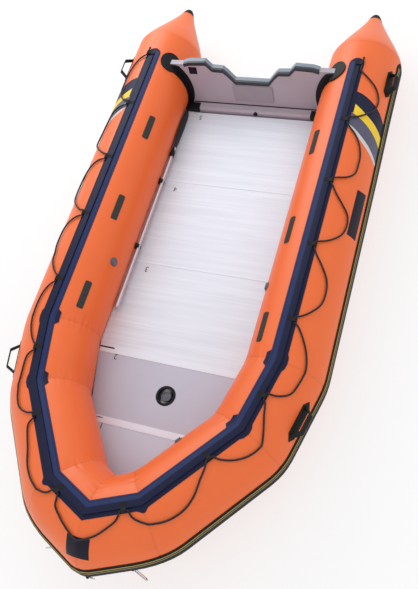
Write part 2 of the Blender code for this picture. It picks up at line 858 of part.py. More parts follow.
def bottom_row(along):
    # One row of the bottom fabric, from the centre line to the tube and on over its lap
    last = bends[-1] * sheet_front_share
    edge = skin_point(along, lap_angles[0], 0)
    reach = hull_front() - sheet_nose - (shift - skin_point(last, lap_angles[0], 0).y)
    station = shift - edge.y + reach * (along / last) ** sheet_nose_power
    keel = Vector((0, shift - station, keel_height(station)))
    row = []
    for column in range(sheet_columns + 1):
        share = column / sheet_columns
        point = keel.lerp(edge, share)
        point.z = keel.z + (edge.z - keel.z) * share ** sheet_flare
        row.append(point)
    return row + [skin_point(along, angle, 0) for angle in lap_angles[1:]]


def make_bottom():
    front = bends[-1] * sheet_front_share
    columns = sheet_columns
    stops = [sheet_back, bends[1] / 2, bends[1], (bends[1] + bends[2]) / 2, bends[2]]
    stops += [bends[2] + (front - bends[2]) * share for share in sheet_row_shares] + [bends[3], front]
    turn = bends[-1]
    last = [skin_point(turn + (front - turn) * c / columns, lap_angles[0], 0) for c in range(columns)]
    last[0].x = 0.0
    mesh = bmesh.new()
    grid = [[mesh.verts.new(point) for point in bottom_row(along)] for along in stops]
    for row, after in zip(grid, grid[1:]):
        for left in range(len(row) - 1):
            mesh.faces.new((row[left], row[left + 1], after[left + 1], after[left]))
    bow = [mesh.verts.new(point) for point in last] + [grid[-1][columns]]
    for left in range(columns):
        lower = (grid[-1][left], grid[-1][left + 1], bow[left + 1], bow[left])
        mesh.faces.new([vertex for number, vertex in enumerate(lower) if vertex not in lower[:number]])
    laps_bow = []
    for angle in lap_angles[1:]:
        laps_bow.append([skin_point(turn + (front - turn) * c / columns, angle, 0) for c in range(columns)])
    previous = bow
    for depth, line in enumerate(laps_bow):
        line[0].x = 0.0
        current = [mesh.verts.new(point) for point in line] + [grid[-1][columns + 1 + depth]]
        for left in range(columns):
            mesh.faces.new((previous[left], previous[left + 1], current[left + 1], current[left]))
        previous = current
    bmesh.ops.recalc_face_normals(mesh, faces=mesh.faces)
    facing = sum(face.normal.z * face.calc_area() for face in mesh.faces)
    if facing < 0:
        bmesh.ops.reverse_faces(mesh, faces=mesh.faces)
    data = bpy.data.meshes.new("bottom_fabric")
    mesh.to_mesh(data)
    mesh.free()
    data.materials.append(surfaces["grey fabric"])
    sheet = bpy.data.objects.new("bottom_fabric", data)
    boat.objects.link(sheet)
    mirror_half(sheet)
    thick = sheet.modifiers.new("fabric", "SOLIDIFY")
    thick.thickness = sheet_thickness
    thick.offset = -1
    thick.use_even_offset = True


def make_keel():
    centre = keel_centre()
    points = []
    for share, _ in keel_nose_shares:
        station = keel_back + (keel_front - keel_back) * share
        points.append(Vector((0, shift - station, centre)))
    mesh = wire(points, keel_radius, resolution=3, shares=[share for _, share in keel_nose_shares])
    add_part("keel_tube", mesh, "grey fabric", smooth=True)


# Floor

def floor_half_width(station):
    # Half the floor's width at a station, inside the tubes
    target = shift - station
    low, high = 0.0, bends[-1]
    for _ in range(30):
        middle = (low + high) / 2
        if inner_wall(middle, floor_level).y > target:
            low = middle
        else:
            high = middle
    return min(board_half_width, inner_wall(low, floor_level).x - board_tube_clearance)


def finish_board(name, half, surface):
    outline = half + [(-x, y) for x, y in reversed(half) if x > merge]
    mesh = plate([outline], floor_level - board_thickness, floor_level)
    return add_part(name, mesh, surface)


def make_boards():
    half_web = joiner_web / 2 + gap
    stations = list(board_joints)
    for number in range(5, 0, -1):
        index = 5 - number
        back = stations[index] + (half_web if number < 5 else 0)
        if number > 1:
            front = stations[index + 1] - half_web
            stops = [back] + [s for s in bend_stations() if back < s < front] + [front]
            half = [(floor_half_width(stop), shift - stop) for stop in stops]
        else:
            wide = floor_half_width(back)
            half = [(wide, shift - back)]
            half += [(wide * across, shift - back - (nose_station - back) * ahead) for ahead, across in nose_shares]
        surface = "aluminium" if number > painted_boards else "grey board"
        board = finish_board(f"floorboard_{number}", half, surface)
        if number == 2:
            cut_port(board)
        edges = board.modifiers.new("edges", "BEVEL")
        edges.width = board_edge
        edges.segments = 1
        edges.limit_method = "ANGLE"
        edges.angle_limit = math.radians(50)


def bend_stations():
    return [bow_station * share for share, _, _ in bend_shares[:2]]


def cut_port(board):
    cutter = cylinder(port_radius, floor_level - board_thickness - overrun, floor_level + overrun, 32)
    tool = add_part("port_cutter", cutter, "grey board", (port_offset, shift - port_station, 0))
    boat.objects.unlink(tool)
    cutters.objects.link(tool)
    tool.hide_render = True
    tool.display_type = "WIRE"
    hole = board.modifiers.new("port", "BOOLEAN")
    hole.object = tool


def make_joiners():
    under = floor_level - board_thickness
    for name, station, width in zip(joiner_names, board_joints[:0:-1], joiner_widths):
        web = joiner_web / 2
        flange = width / 2
        top, low = floor_level + gap, under - gap
        section = [(-flange, top + joiner_flange), (-flange, top), (-web, top), (-web, low), (-flange, low)]
        section += [(-flange, low - joiner_flange)]
        section += [(-y, z) for y, z in reversed(section)]
        half = floor_half_width(station + flange) if station > stringer_front else 0.0
        if station <= stringer_front:
            half = board_half_width - stringer_reach - gap
        else:
            half -= 2 * board_tube_clearance
        rings = [[Vector((x, y, z)) for y, z in section] for x in (-half, half)]
        add_part(f"joiner_{name}", loft(rings), "white plastic", (0, shift - station, 0))


def make_stringers():
    inside = board_half_width + gap
    top, low = floor_level + gap, floor_level - board_thickness - gap
    reach = board_half_width - stringer_reach
    wall = stringer_wall
    section = [(reach, top + wall), (reach, top), (inside, top), (inside, low), (reach, low), (reach, low - wall)]
    section += [(inside + wall, low - wall), (inside + wall, top + wall)]
    rings = [[Vector((x, shift - s, z)) for x, z in section] for s in (stringer_back, stringer_front)]
    port = add_part("stringer_port", loft(rings), "aluminium")
    starboard_copy(port, "stringer_starboard", "aluminium")


def make_access_port():
    place = (port_offset, shift - port_station, floor_level + gap)
    sleeve = port_radius * math.cos(math.pi / 32) - gap
    depth = -(board_thickness + gap)
    profile = [(port_bore, port_rim_height), (port_rim - port_rim_height, port_rim_height)]
    profile += [(port_rim, port_rim_height / 3), (port_rim, 0), (sleeve, 0), (sleeve, depth)]
    profile += [(port_bore, depth), (port_bore, port_rim_height)]
    add_part("access_port_ring", turned(profile, 32), "black plastic", place, smooth=True)
    foot = keel_centre() + keel_flat + gap
    profile = [(valve_radius * wide, valve_height * high) for wide, high in valve_shares]
    place = (port_offset, shift - port_station, foot)
    add_part("keel_valve", turned(profile), "grey plastic", place, smooth=True)


# Transom

def lean_back(mesh):
    for vertex in mesh.verts:
        vertex.co.y += transom_lean * (vertex.co.z - tube_radius)
    return mesh


def transom_half():
    # The transom's outline from the top of its recess out to the holder and down to the floor, in world X and Z
    rim = head_angle - math.degrees((head_radius + head_clearance) / tube_radius)
    points = [(0, tube_radius + recess_level)]
    points += [(x, tube_radius + z) for x, z in transom_steps]
    for start, end, thickness in ((head_angle, rim, head_thickness), (rim, holder_bottom_angle, holder_base)):
        side = corner_radius + 2 * gap + thickness
        for degrees in arc_angles(start, end):
            angle = math.radians(degrees)
            points.append((half_beam + side * math.sin(angle), tube_radius + side * math.cos(angle)))
    last = points[-1]
    floor_z = keel_height(0) + transom_foot_clearance
    inward, down = transom_foot_shares
    points.append((last[0] * inward, last[1] - down * (last[1] - floor_z)))
    points.append((0, floor_z))
    return points


def transom_plate(half, thickness, rise=0.0):
    outline = [(x, z + rise) for x, z in half] + [(-x, z + rise) for x, z in reversed(half) if x > merge]
    mesh = stand_up(plate([outline], -thickness / 2, thickness / 2))
    bmesh.ops.translate(mesh, vec=(0, shift - transom_station, 0), verts=mesh.verts)
    return mesh


def make_transom():
    half = transom_half()
    add_part("transom_board", lean_back(transom_plate(half, transom_thickness)), "grey board")
    top = [point for point in half[:len(transom_steps) + 1] if point[0] < cap_reach]
    slope = (transom_steps[-1][1] - transom_steps[-2][1]) / (transom_steps[-1][0] - transom_steps[-2][0])
    end = tube_radius + transom_steps[-2][1] + slope * (cap_reach - transom_steps[-2][0])
    top.append((cap_reach, end))
    band = [(x, z + gap + cap_thickness) for x, z in top] + [(x, z - cap_depth) for x, z in reversed(top)]
    wide = transom_thickness + 2 * (gap + cap_thickness)
    cap = add_part("cap", transom_plate(band, wide), "light plastic")
    under = [(x, z + gap) for x, z in top[:-1]]
    under.append((cap_reach + overrun, top[-1][1] + gap + slope * overrun))
    under += [(cap_reach + overrun, tube_radius), (0, tube_radius)]
    tool = add_part("cap_cutter", transom_plate(under, transom_thickness + 2 * gap), "light plastic")
    add_part("transom_cap", lean_back(combine(cap, tool, "DIFFERENCE")), "light plastic")


def make_motor_pads():
    half = transom_thickness / 2 + gap
    for name, low, high, side in (
        ("motor_pad_inner", inner_pad_bottom, inner_pad_top, -1),
        ("motor_pad_outer", outer_pad_bottom, outer_pad_top, 1),
    ):
        near, far = sorted((side * half, side * (half + pad_thickness)))
        outline = rounded_rectangle(pad_half_width, (high - low) / 2, pad_thickness)
        mesh = stand_up(plate([outline], -far, -near))
        middle = tube_radius + (low + high) / 2
        bmesh.ops.translate(mesh, vec=(0, shift - transom_station, middle), verts=mesh.verts)
        add_part(name, lean_back(mesh), "black plastic")


def make_holders():
    # Modelled flat: X runs up round the tube from the foot, Y along the boat
    top = math.radians(holder_top_angle - head_angle) * tube_radius
    low = math.radians(holder_bottom_angle - head_angle) * tube_radius
    base = add_part("base", box((low, -holder_width / 2, 0), (top, holder_width / 2, holder_base)), "black plastic")
    disc = add_part("disc", cylinder(head_radius, 0, head_thickness, 28), "black plastic")
    body = add_part("body", combine(base, disc, "UNION"), "black plastic")
    inner = transom_thickness / 2 + holder_slot_clearance
    for side in (-1, 1):
        near, far = sorted((side * inner, side * (inner + holder_wall)))
        profile = [(low, holder_base / 2), (-head_clearance, holder_base / 2)]
        profile += [(-head_clearance, head_thickness), (-head_clearance - holder_wall_ramp, holder_wall_height)]
        profile.append((low, holder_wall_height))
        wall = stand_up(plate([profile], -far, -near))
        body = add_part("body", combine(body, add_part("wall", wall, "black plastic"), "UNION"), "black plastic")
    mesh = wrap(settled(body), transom_station, head_angle, transom_lean)
    port = add_part("transom_holder_port", mesh, "black plastic")
    starboard_copy(port, "transom_holder_starboard", "black plastic")


def make_beam():
    front = transom_thickness / 2 + gap
    low_y = shift - transom_station - front
    lean_at_top = transom_lean * (beam_top - tube_radius)
    bottom = keel_height(0) + transom_foot_clearance
    edge = skin_point(transom_station, lap_angles[0], 0)
    rise = beam_half_width * (edge.z - keel_height(0)) / edge.x
    back_top = low_y + lean_at_top
    front_y = back_top - beam_depth
    back_bottom = low_y + transom_lean * (bottom + rise - tube_radius)
    section = [(back_bottom, bottom + rise), (back_top, beam_top), (front_y + beam_chamfer, beam_top)]
    section += [(front_y, beam_top - beam_chamfer), (front_y, bottom + rise)]
    rings = [[Vector((x, y, z)) for y, z in section] for x in (-beam_half_width, beam_half_width)]
    beam = add_part("beam", loft(rings), "grey board")
    bore = drain_stem_radius + gap
    stem = bore * math.cos(math.pi / round_steps) - gap
    drill = cylinder(bore, -drain_stem_length - 2 * gap, drain_knob_length)
    bmesh.ops.rotate(drill, cent=(0, 0, 0), matrix=Matrix.Rotation(math.pi / 2, 3, "X"), verts=drill.verts)
    tool = add_part("drain_cutter", drill, "grey board", (drain_offset, front_y, drain_height))
    add_part("foot_beam", combine(beam, tool, "DIFFERENCE"), "grey board")
    edge_radius = drain_knob_radius * drain_knob_edge_share
    edge_height = drain_knob_length * drain_knob_edge_share
    profile = [(0, drain_knob_length), (edge_radius, drain_knob_length), (drain_knob_radius, edge_height)]
    profile += [(drain_knob_radius, gap), (stem, gap), (stem, -drain_stem_length), (0, -drain_stem_length)]
    plug = turned(profile)
    bmesh.ops.rotate(plug, cent=(0, 0, 0), matrix=Matrix.Rotation(math.pi / 2, 3, "X"), verts=plug.verts)
    add_part("drain_plug", plug, "black plastic", (drain_offset, front_y, drain_height), smooth=True)


# Fittings on the tubes

def make_handles():
    half = handle_length / 2
    width = handle_width / 2
    shoulder = half * handle_point_share
    outline = [(0, half), (-width, shoulder), (-width, -shoulder), (0, -half), (width, -shoulder), (width, shoulder)]
    foot, top = strap_foot / 2, strap_top / 2
    low = handle_patch / 2
    under = strap_height - strap_thickness
    outside = [(foot, low), (foot, strap_foot_height), (top, strap_height)]
    inside = [(top - strap_top_inset, under), (foot - strap_foot_thickness, strap_foot_height)]
    inside.append((foot - strap_foot_thickness, low))
    arch = [(-x, z) for x, z in outside] + outside[::-1] + inside[::-1] + [(-x, z) for x, z in inside]
    for name, along, clearance in handle_places:
        below = (strake_width + handle_width) / 2 + clearance
        degrees = strake_angle(along) - math.degrees(below / tube_radius)
        patch = add_part("patch", plate([outline], 0, handle_patch), "black rubber")
        strap = plate([arch], -strap_width / 2, strap_width / 2)
        turn = Matrix(((0, 0, 1), (1, 0, 0), (0, 1, 0)))
        bmesh.ops.rotate(strap, cent=(0, 0, 0), matrix=turn, verts=strap.verts)
        mesh = combine(patch, add_part("strap", strap, "black rubber"), "UNION")
        port = add_part(f"handle_{name}_port", wrap(mesh, along, degrees), "black rubber")
        starboard_copy(port, f"handle_{name}_starboard", "black rubber")


def make_side_pads():
    for number, station in enumerate(side_pad_stations, 1):
        outline = rounded_rectangle(side_pad_width / 2, side_pad_length / 2, side_pad_corner)
        mesh = wrap(plate([outline], 0, side_pad_thickness), station, side_pad_angle)
        port = add_part(f"side_pad_port_{number}", mesh, "dark grey rubber")
        starboard_copy(port, f"side_pad_starboard_{number}", "dark grey rubber")


def ring_patch_mesh(turn, width, slack):
    # A round patch with a webbing loop across it; the loop's bore runs along the tube, or round it when turned
    disc = add_part("disc", cylinder(ring_patch_radius, 0, ring_patch_thickness, 20), "black rubber")
    bore = ring_wire + slack
    outside = bore + ring_loop_wall
    lift = ring_patch_thickness + bore
    foot = outside * ring_loop_foot_share
    outline = [(-foot, ring_patch_thickness / 2), (foot, ring_patch_thickness / 2)]
    outline += arc((0, lift), outside, 0, 180, 6)
    hole = arc((0, lift), bore / math.cos(math.pi / 8), 22.5, 337.5, 7)
    loop = stand_up(plate([outline, hole], -width / 2, width / 2))
    bmesh.ops.rotate(loop, cent=(0, 0, 0), matrix=Matrix.Rotation(turn, 3, "Z"), verts=loop.verts)
    return combine(disc, add_part("loop", loop, "black rubber"), "UNION")


def ring_mesh(across, hang, width, depth):
    # A closed ring with a straight bar along "across" and a round end towards "hang"
    half = width / 2
    outline = [(-half, 0.0), (half, 0.0)]
    outline += [(x, depth - half + y) for x, y in arc((0, 0), half, 0, 180, 6)]
    points = [across * x + hang * y for x, y in outline]
    return wire(points, ring_wire, closed=True, resolution=1)


def make_bow_rings():
    patch = ring_patch_mesh(0.0, bow_loop_width, bow_loop_slack)
    everything = patch.verts[:] + patch.edges[:] + patch.faces[:]
    bmesh.ops.bisect_plane(patch, geom=everything, dist=merge, plane_no=(0, 1, 0), clear_outer=True)
    patch = open_at(wrap(patch, bends[-1], ring_angle), 0, 0.0)
    mirror_half(add_part("bow_ring_patch_centre", patch, "black rubber"))
    middle = skin_point(bends[-1], ring_angle, ring_patch_thickness + ring_wire + bow_loop_slack)
    ring = ring_mesh(Vector((1, 0, 0)), Vector((0, 0, -1)), ring_width, ring_depth)
    add_part("bow_ring_centre", ring, "stainless steel", middle, smooth=True)
    along = bends[-1] - ring_back
    patch = wrap(ring_patch_mesh(math.pi / 2, ring_loop_width, 2 * gap), along, ring_angle)
    patch = add_part("bow_ring_patch_port", patch, "black rubber")
    starboard_copy(patch, "bow_ring_patch_starboard", "black rubber")
    lift = ring_patch_thickness + ring_wire + 2 * gap
    middle = skin_point(along, ring_angle, lift)
    outward = (skin_point(along, ring_angle, 2 * lift) - middle).normalized()
    aft = -runs[-1].direction
    link = ring_mesh(outward.cross(aft), (outward + aft).normalized(), link_width, link_depth)
    port = add_part("bow_link_port", link, "stainless steel", middle, smooth=True)
    starboard_copy(port, "bow_link_starboard", "stainless steel")


def round_ring(station, radius):
    turns = [2 * math.pi * step / oar_sides for step in range(oar_sides)]
    return [Vector((radius * math.cos(turn), -station, radius * math.sin(turn))) for turn in turns]


def make_oars():
    place = Vector((oar_x, shift, oar_z))
    rings = [round_ring(shaft_back, shaft_radius), round_ring(shaft_front, shaft_radius)]
    rings += [round_ring(shaft_front + grip_length * share, grip_radius * wide) for share, wide in grip_shares]
    port = add_part("oar_shaft_port", loft(rings), "aluminium", place, smooth=True)
    starboard_copy(port, "oar_shaft_starboard", "aluminium")
    port = add_part("oar_blade_port", blade_mesh(), "black plastic", place, smooth=True)
    starboard_copy(port, "oar_blade_starboard", "black plastic")


def blade_mesh():
    # Blade with a rounded stern end and a hub that takes the shaft's end
    length = blade_front - blade_back
    rings = []
    for share, wide, thick in blade_shares:
        ring = round_ring(blade_back + length * share, 1)
        rings.append([Vector((x * blade_thickness / 2 * thick, y, z * blade_half_width * wide)) for x, y, z in ring])
    rings += [round_ring(blade_back + length * share, blade_neck_radius) for share in blade_neck_shares]
    hub = add_part("hub", loft(rings), "black plastic")
    socket = cylinder(shaft_radius + gap, 0, blade_front - shaft_back + overrun, oar_sides)
    bmesh.ops.rotate(socket, cent=(0, 0, 0), matrix=Matrix.Rotation(math.pi / 2, 3, "X"), verts=socket.verts)
    bmesh.ops.translate(socket, vec=(0, -shaft_back + gap, 0), verts=socket.verts)
    return combine(hub, add_part("socket", socket, "black plastic"), "DIFFERENCE")


def make_clips():
    # Cradles drawn in section: the back follows the tube, the mouth opens inboard so that the oar lifts out level
    bore = shaft_radius + clip_clearance
    outside = bore + clip_wall
    lowest = math.degrees(math.atan2(oar_x - half_beam, oar_z - clip_spread - tube_radius))
    highest = math.degrees(math.atan2(oar_x - half_beam, oar_z + clip_spread - tube_radius))
    tube_side = []
    for degrees in arc_angles(highest, lowest):
        angle = math.radians(degrees)
        reach = skin(angle) + gap
        tube_side.append((half_beam + reach * math.sin(angle), tube_radius + reach * math.cos(angle)))
    lip = oar_x - bore * clip_mouth_share
    mouth = [(lip, oar_z - outside), (lip, oar_z - bore)]
    seat = [(oar_x + x, oar_z + z) for x, z in arc((0, 0), bore / math.cos(math.pi / 16), -90, 90, 8)]
    roof = [(lip, oar_z + bore), (lip, oar_z + outside)]
    outline = tube_side + mouth + seat + roof
    for number, station in enumerate(clip_stations, 1):
        mesh = stand_up(plate([outline], -clip_length / 2, clip_length / 2))
        bmesh.ops.translate(mesh, vec=(0, shift - station, 0), verts=mesh.verts)
        port = add_part(f"oar_clip_port_{number}", mesh, "black plastic")
        starboard_copy(port, f"oar_clip_starboard_{number}", "black plastic")


def valve_mesh():
    flange = add_part("flange", cylinder(chamber_valve_radius, 0, chamber_valve_flange), "black plastic")
    high = chamber_valve_flange + chamber_cap_height
    top_radius = chamber_cap_radius * chamber_cap_share
    cap = cylinder(chamber_cap_radius, chamber_valve_flange / 2, high, 12, top_radius)
    return combine(flange, add_part("cap", cap, "black plastic"), "UNION")


def make_valves():
    port = add_part("chamber_valve_port", wrap(valve_mesh(), *side_valve_place), "black plastic")
    starboard_copy(port, "chamber_valve_starboard", "black plastic")
    add_part("chamber_valve_bow", wrap(valve_mesh(), *bow_valve_place), "black plastic")


clear_scene()
boat = bpy.data.collections.new("inflatable_rescue_boat")
cutters = bpy.data.collections.new("cutters")
bpy.context.scene.collection.children.link(boat)
bpy.context.scene.collection.children.link(cutters)
surfaces = {
    "orange": make_surface("orange", (0.84, 0.15, 0.04), 0.45),
    "strip blue": make_surface("strip blue", (0.024, 0.03, 0.09), 0.5),
    "black rubber": make_surface("black rubber", (0.02, 0.02, 0.022), 0.6),
    "dark grey rubber": make_surface("dark grey rubber", (0.045, 0.05, 0.05), 0.65),
    "black rope": make_surface("black rope", (0.011, 0.006, 0.007), 0.8),
    "grey fabric": make_surface("grey fabric", (0.35, 0.34, 0.37), 0.6),
    "grey board": make_surface("grey board", (0.51, 0.49, 0.60), 0.5),
    "white plastic": make_surface("white plastic", (0.85, 0.85, 0.86), 0.4),
    "light plastic": make_surface("light plastic", (0.26, 0.31, 0.35), 0.45),
    "grey plastic": make_surface("grey plastic", (0.2, 0.2, 0.22), 0.45),
    "black plastic": make_surface("black plastic", (0.02, 0.021, 0.025), 0.45),
    "aluminium": make_surface("aluminium", (0.75, 0.75, 0.78), 0.3, 1.0),
    "stainless steel": make_surface("stainless steel", (0.65, 0.65, 0.67), 0.2, 1.0),
}

runs, planes, bends = tube_runs(0.0)
stern_reach = cone_start + cone_length + gap + tip_length
bow_reach = max(-skin_point(bends[-1], degrees, strake_lift).y for degrees in arc_angles(60, 120))
shift = (bow_reach - stern_reach) / 2
runs, planes, bends = tube_runs(shift)

make_chambers()
make_cone_tips()
make_strake()
make_strip()
make_rope()
make_bottom()
make_keel()
make_boards()
make_joiners()
make_stringers()
make_access_port()
make_transom()
make_motor_pads()
make_holders()
make_beam()
make_handles()
make_side_pads()
make_bow_rings()
make_oars()
make_clips()
make_valves()
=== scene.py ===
# Inflatable rescue boat: the looks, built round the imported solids. X to port, Y aft, Z up, in metres.
import math

import bmesh
import bpy
from mathutils import Matrix, Vector, noise


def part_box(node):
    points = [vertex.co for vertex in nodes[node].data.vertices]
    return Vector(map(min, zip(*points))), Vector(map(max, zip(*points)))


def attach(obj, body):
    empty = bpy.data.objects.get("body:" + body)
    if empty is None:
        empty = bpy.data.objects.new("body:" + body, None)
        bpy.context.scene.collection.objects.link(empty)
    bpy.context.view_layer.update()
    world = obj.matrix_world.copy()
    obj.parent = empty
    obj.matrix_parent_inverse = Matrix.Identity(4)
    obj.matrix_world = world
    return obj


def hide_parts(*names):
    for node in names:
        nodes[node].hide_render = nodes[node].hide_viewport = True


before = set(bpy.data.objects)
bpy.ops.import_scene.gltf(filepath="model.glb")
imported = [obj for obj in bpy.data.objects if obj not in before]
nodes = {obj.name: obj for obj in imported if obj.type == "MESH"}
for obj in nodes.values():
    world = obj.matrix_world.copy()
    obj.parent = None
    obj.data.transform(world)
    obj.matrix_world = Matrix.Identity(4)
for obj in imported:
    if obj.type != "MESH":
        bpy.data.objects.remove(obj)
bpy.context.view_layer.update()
scene = bpy.context.scene
print("frame loaded:", len(nodes), "solids")

# Camera, fitted to the photograph
cameraFit = {
    "place": (1.66787, -1.95737, 4.24434),
    "right": (0.92996, 0.28020, -0.23798),
    "up": (-0.15761, 0.88871, 0.43049),
    "forward": (-0.33213, 0.36284, -0.87065),
    "lens": 43.79,
    "sensor": 36,
    "clipEnd": 60,
}


def makeCamera():
    data = bpy.data.cameras.new("photoCamera")
    data.sensor_width = cameraFit["sensor"]
    data.lens = cameraFit["lens"]
    data.clip_end = cameraFit["clipEnd"]
    camera = bpy.data.objects.new("photoCamera", data)
    back = -Vector(cameraFit["forward"])
    turn = Matrix((cameraFit["right"], cameraFit["up"], back)).transposed().to_4x4()
    camera.matrix_world = Matrix.Translation(cameraFit["place"]) @ turn
    scene.collection.objects.link(camera)
    scene.camera = camera


makeCamera()

# Tube geometry: the same line, bends and lifts that the solids were made from
tube = {
    "radius": 0.25,
    "facets": 48,
    "halfBeam": 0.759,
    "bowStation": 3.302,
    "bowRise": 0.153,
    "bends": ((0.670, 1.0, 0.0), (0.804, 0.866, 0.162), (0.9646, 0.345, 0.820), (1.0, 0.0, 1.0)),
    "coneStart": 0.153,
    "coneLength": 0.447,
    "coneToeIn": 0.016,
    "gap": 0.0003,
}
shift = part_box("top_strip")[1].y


def tubeRuns():
    # The port tube's line from the stern to the bow's middle: its runs, mitre planes and bends
    points = [Vector((tube["halfBeam"], shift, tube["radius"]))]
    for ahead, wide, rise in tube["bends"]:
        x, y = tube["halfBeam"] * wide, shift - tube["bowStation"] * ahead
        points.append(Vector((x, y, tube["radius"] + tube["bowRise"] * rise)))
    runsMade, planesMade, lengths = [], [(points[0], Vector((0, 1, 0)))], [0.0]
    up = Vector((0, 0, 1))
    for start, end in zip(points, points[1:]):
        direction = (end - start).normalized()
        if runsMade:
            normal = (runsMade[-1][1] + direction).normalized()
            up = up - 2 * up.dot(normal) * normal
            planesMade.append((start, normal))
        runsMade.append((start, direction, up, up.cross(direction)))
        lengths.append(lengths[-1] + (end - start).length)
    planesMade.append((points[-1], Vector((1, 0, 0))))
    return runsMade, planesMade, lengths


runs, planes, bends = tubeRuns()


def mitrePoint(plane, angle, distance):
    start, direction, up, out = runs[max(plane - 1, 0)]
    point = start + distance * (math.cos(angle) * up + math.sin(angle) * out)
    where, normal = planes[plane]
    return point + (where - point).dot(normal) / direction.dot(normal) * direction


def tubePoint(along, angle, distance):
    # A point beside the port tube: along it from the stern, angle from its top, outboard positive
    run = 0
    while run < len(runs) - 1 and along > bends[run + 1]:
        run += 1
    share = (along - bends[run]) / (bends[run + 1] - bends[run])
    start = mitrePoint(run, angle, distance)
    return start + share * (mitrePoint(run + 1, angle, distance) - start)


# Each bend is a sharp mitre in the solids. Down the tubes' sides the fabric and the strake round it off,
# over a reach each way, by a share that grows and falls with the angle from the tube's top
soften = {
    "reaches": (0.065, 0.085, 0.115, 0.045),
    "grow": (26, 56),
    "fallOutside": (125, 160),
    "fallInside": (85, 115),
    "probe": 0.001,
}


def smoothShare(value, start, end):
    share = min(1.0, max(0.0, (value - start) / (end - start)))
    return share * share * (3 - 2 * share)


def softPoint(along, angle, distance):
    point = tubePoint(along, angle, distance)
    degrees = (math.degrees(angle) + 180) % 360 - 180
    fall = soften["fallOutside"] if degrees > 0 else soften["fallInside"]
    share = smoothShare(abs(degrees), *soften["grow"]) * (1 - smoothShare(abs(degrees), *fall))
    for bend, reach in zip(bends[1:], soften["reaches"]):
        over = reach - abs(along - bend)
        if share > 0 and over > 0:
            corner, probe = tubePoint(bend, angle, distance), soften["probe"]
            before = (corner - tubePoint(bend - probe, angle, distance)) / probe
            if bend == bends[-1]:
                turn = Vector((0, -2 * before.y, -2 * before.z))
            else:
                turn = (tubePoint(bend + probe, angle, distance) - corner) / probe - before
            point += share * over ** 2 / (4 * reach) * turn
    return point


def onSide(point, side):
    # A point of the port side as it is (1), or mirrored to starboard (-1)
    return Vector((side * point.x, point.y, point.z))


def facetReach(angle):
    # The solids' skin is faceted, so what lies on them follows the same facets
    facet = 2 * math.pi / tube["facets"]
    wrapped = (angle + facet / 2) % facet - facet / 2
    return tube["radius"] / math.cos(wrapped)


def skinPoint(along, degrees, lift, side=1):
    angle = math.radians(degrees)
    return onSide(softPoint(along, angle, facetReach(angle) + tube["gap"] + lift), side)


# Colours and materials

def toLinear(code):
    channels = [int(code[place:place + 2], 16) / 255 for place in (1, 3, 5)]
    linear = [c / 12.92 if c <= 0.04045 else ((c + 0.055) / 1.055) ** 2.4 for c in channels]
    return (*linear, 1.0)


def addNode(tree, kind, inputs=None, **settings):
    node = tree.nodes.new(kind)
    for name, value in settings.items():
        setattr(node, name, value)
    for name, value in (inputs or {}).items():
        if isinstance(value, bpy.types.NodeSocket):
            tree.links.new(value, node.inputs[name])
        else:
            node.inputs[name].default_value = value
    return node


def startMaterial(name, fixed):
    # A new material with its Principled shader, and the constants on the shader's own sockets
    made = bpy.data.materials.new(name)
    made.use_nodes = True
    tree = made.node_tree
    shader = tree.nodes["Principled BSDF"]
    for socket, value in fixed.items():
        shader.inputs[socket].default_value = value
    return made, tree, shader


def feedShader(tree, shader, mixed, rough, bump):
    # What differs over the surface reaches the shader here
    tree.links.new(mixed.outputs["Result"], shader.inputs["Base Color"])
    tree.links.new(rough.outputs["Result"], shader.inputs["Roughness"])
    tree.links.new(bump.outputs["Normal"], shader.inputs["Normal"])


def waveScale(pitchMm):
    # Straight bands repeat every 314 mm at scale 1, and diagonal ones every 628 mm along an axis
    return 100 * math.pi / pitchMm


def surface(name, colour, tone, patchMm, grainMm, grainDepthMm, fixed, roughness, stretch=(1, 1, 1)):
    # Colour drifts between two tones over patchMm, and a grain of grainMm gives bump and roughness
    made, tree, shader = startMaterial(name, fixed)
    place = addNode(tree, "ShaderNodeTexCoord").outputs["Object"]
    grid = addNode(tree, "ShaderNodeMapping", {"Vector": place, "Scale": stretch}).outputs["Vector"]
    drift = addNode(tree, "ShaderNodeTexNoise", {"Vector": grid, "Scale": 1000 / patchMm, "Detail": 4.0})
    tones = {"Factor": drift.outputs["Fac"], "A": toLinear(colour), "B": toLinear(tone)}
    mixed = addNode(tree, "ShaderNodeMix", tones, data_type="RGBA")
    grain = addNode(tree, "ShaderNodeTexNoise", {"Vector": grid, "Scale": 1000 / grainMm, "Detail": 2.0})
    smoothest, roughest = roughness
    spread = {"Value": grain.outputs["Fac"], "To Min": smoothest, "To Max": roughest}
    rough = addNode(tree, "ShaderNodeMapRange", spread)
    relief = {"Height": grain.outputs["Fac"], "Strength": 0.6, "Distance": grainDepthMm / 1000}
    feedShader(tree, shader, mixed, rough, addNode(tree, "ShaderNodeBump", relief))
    return made


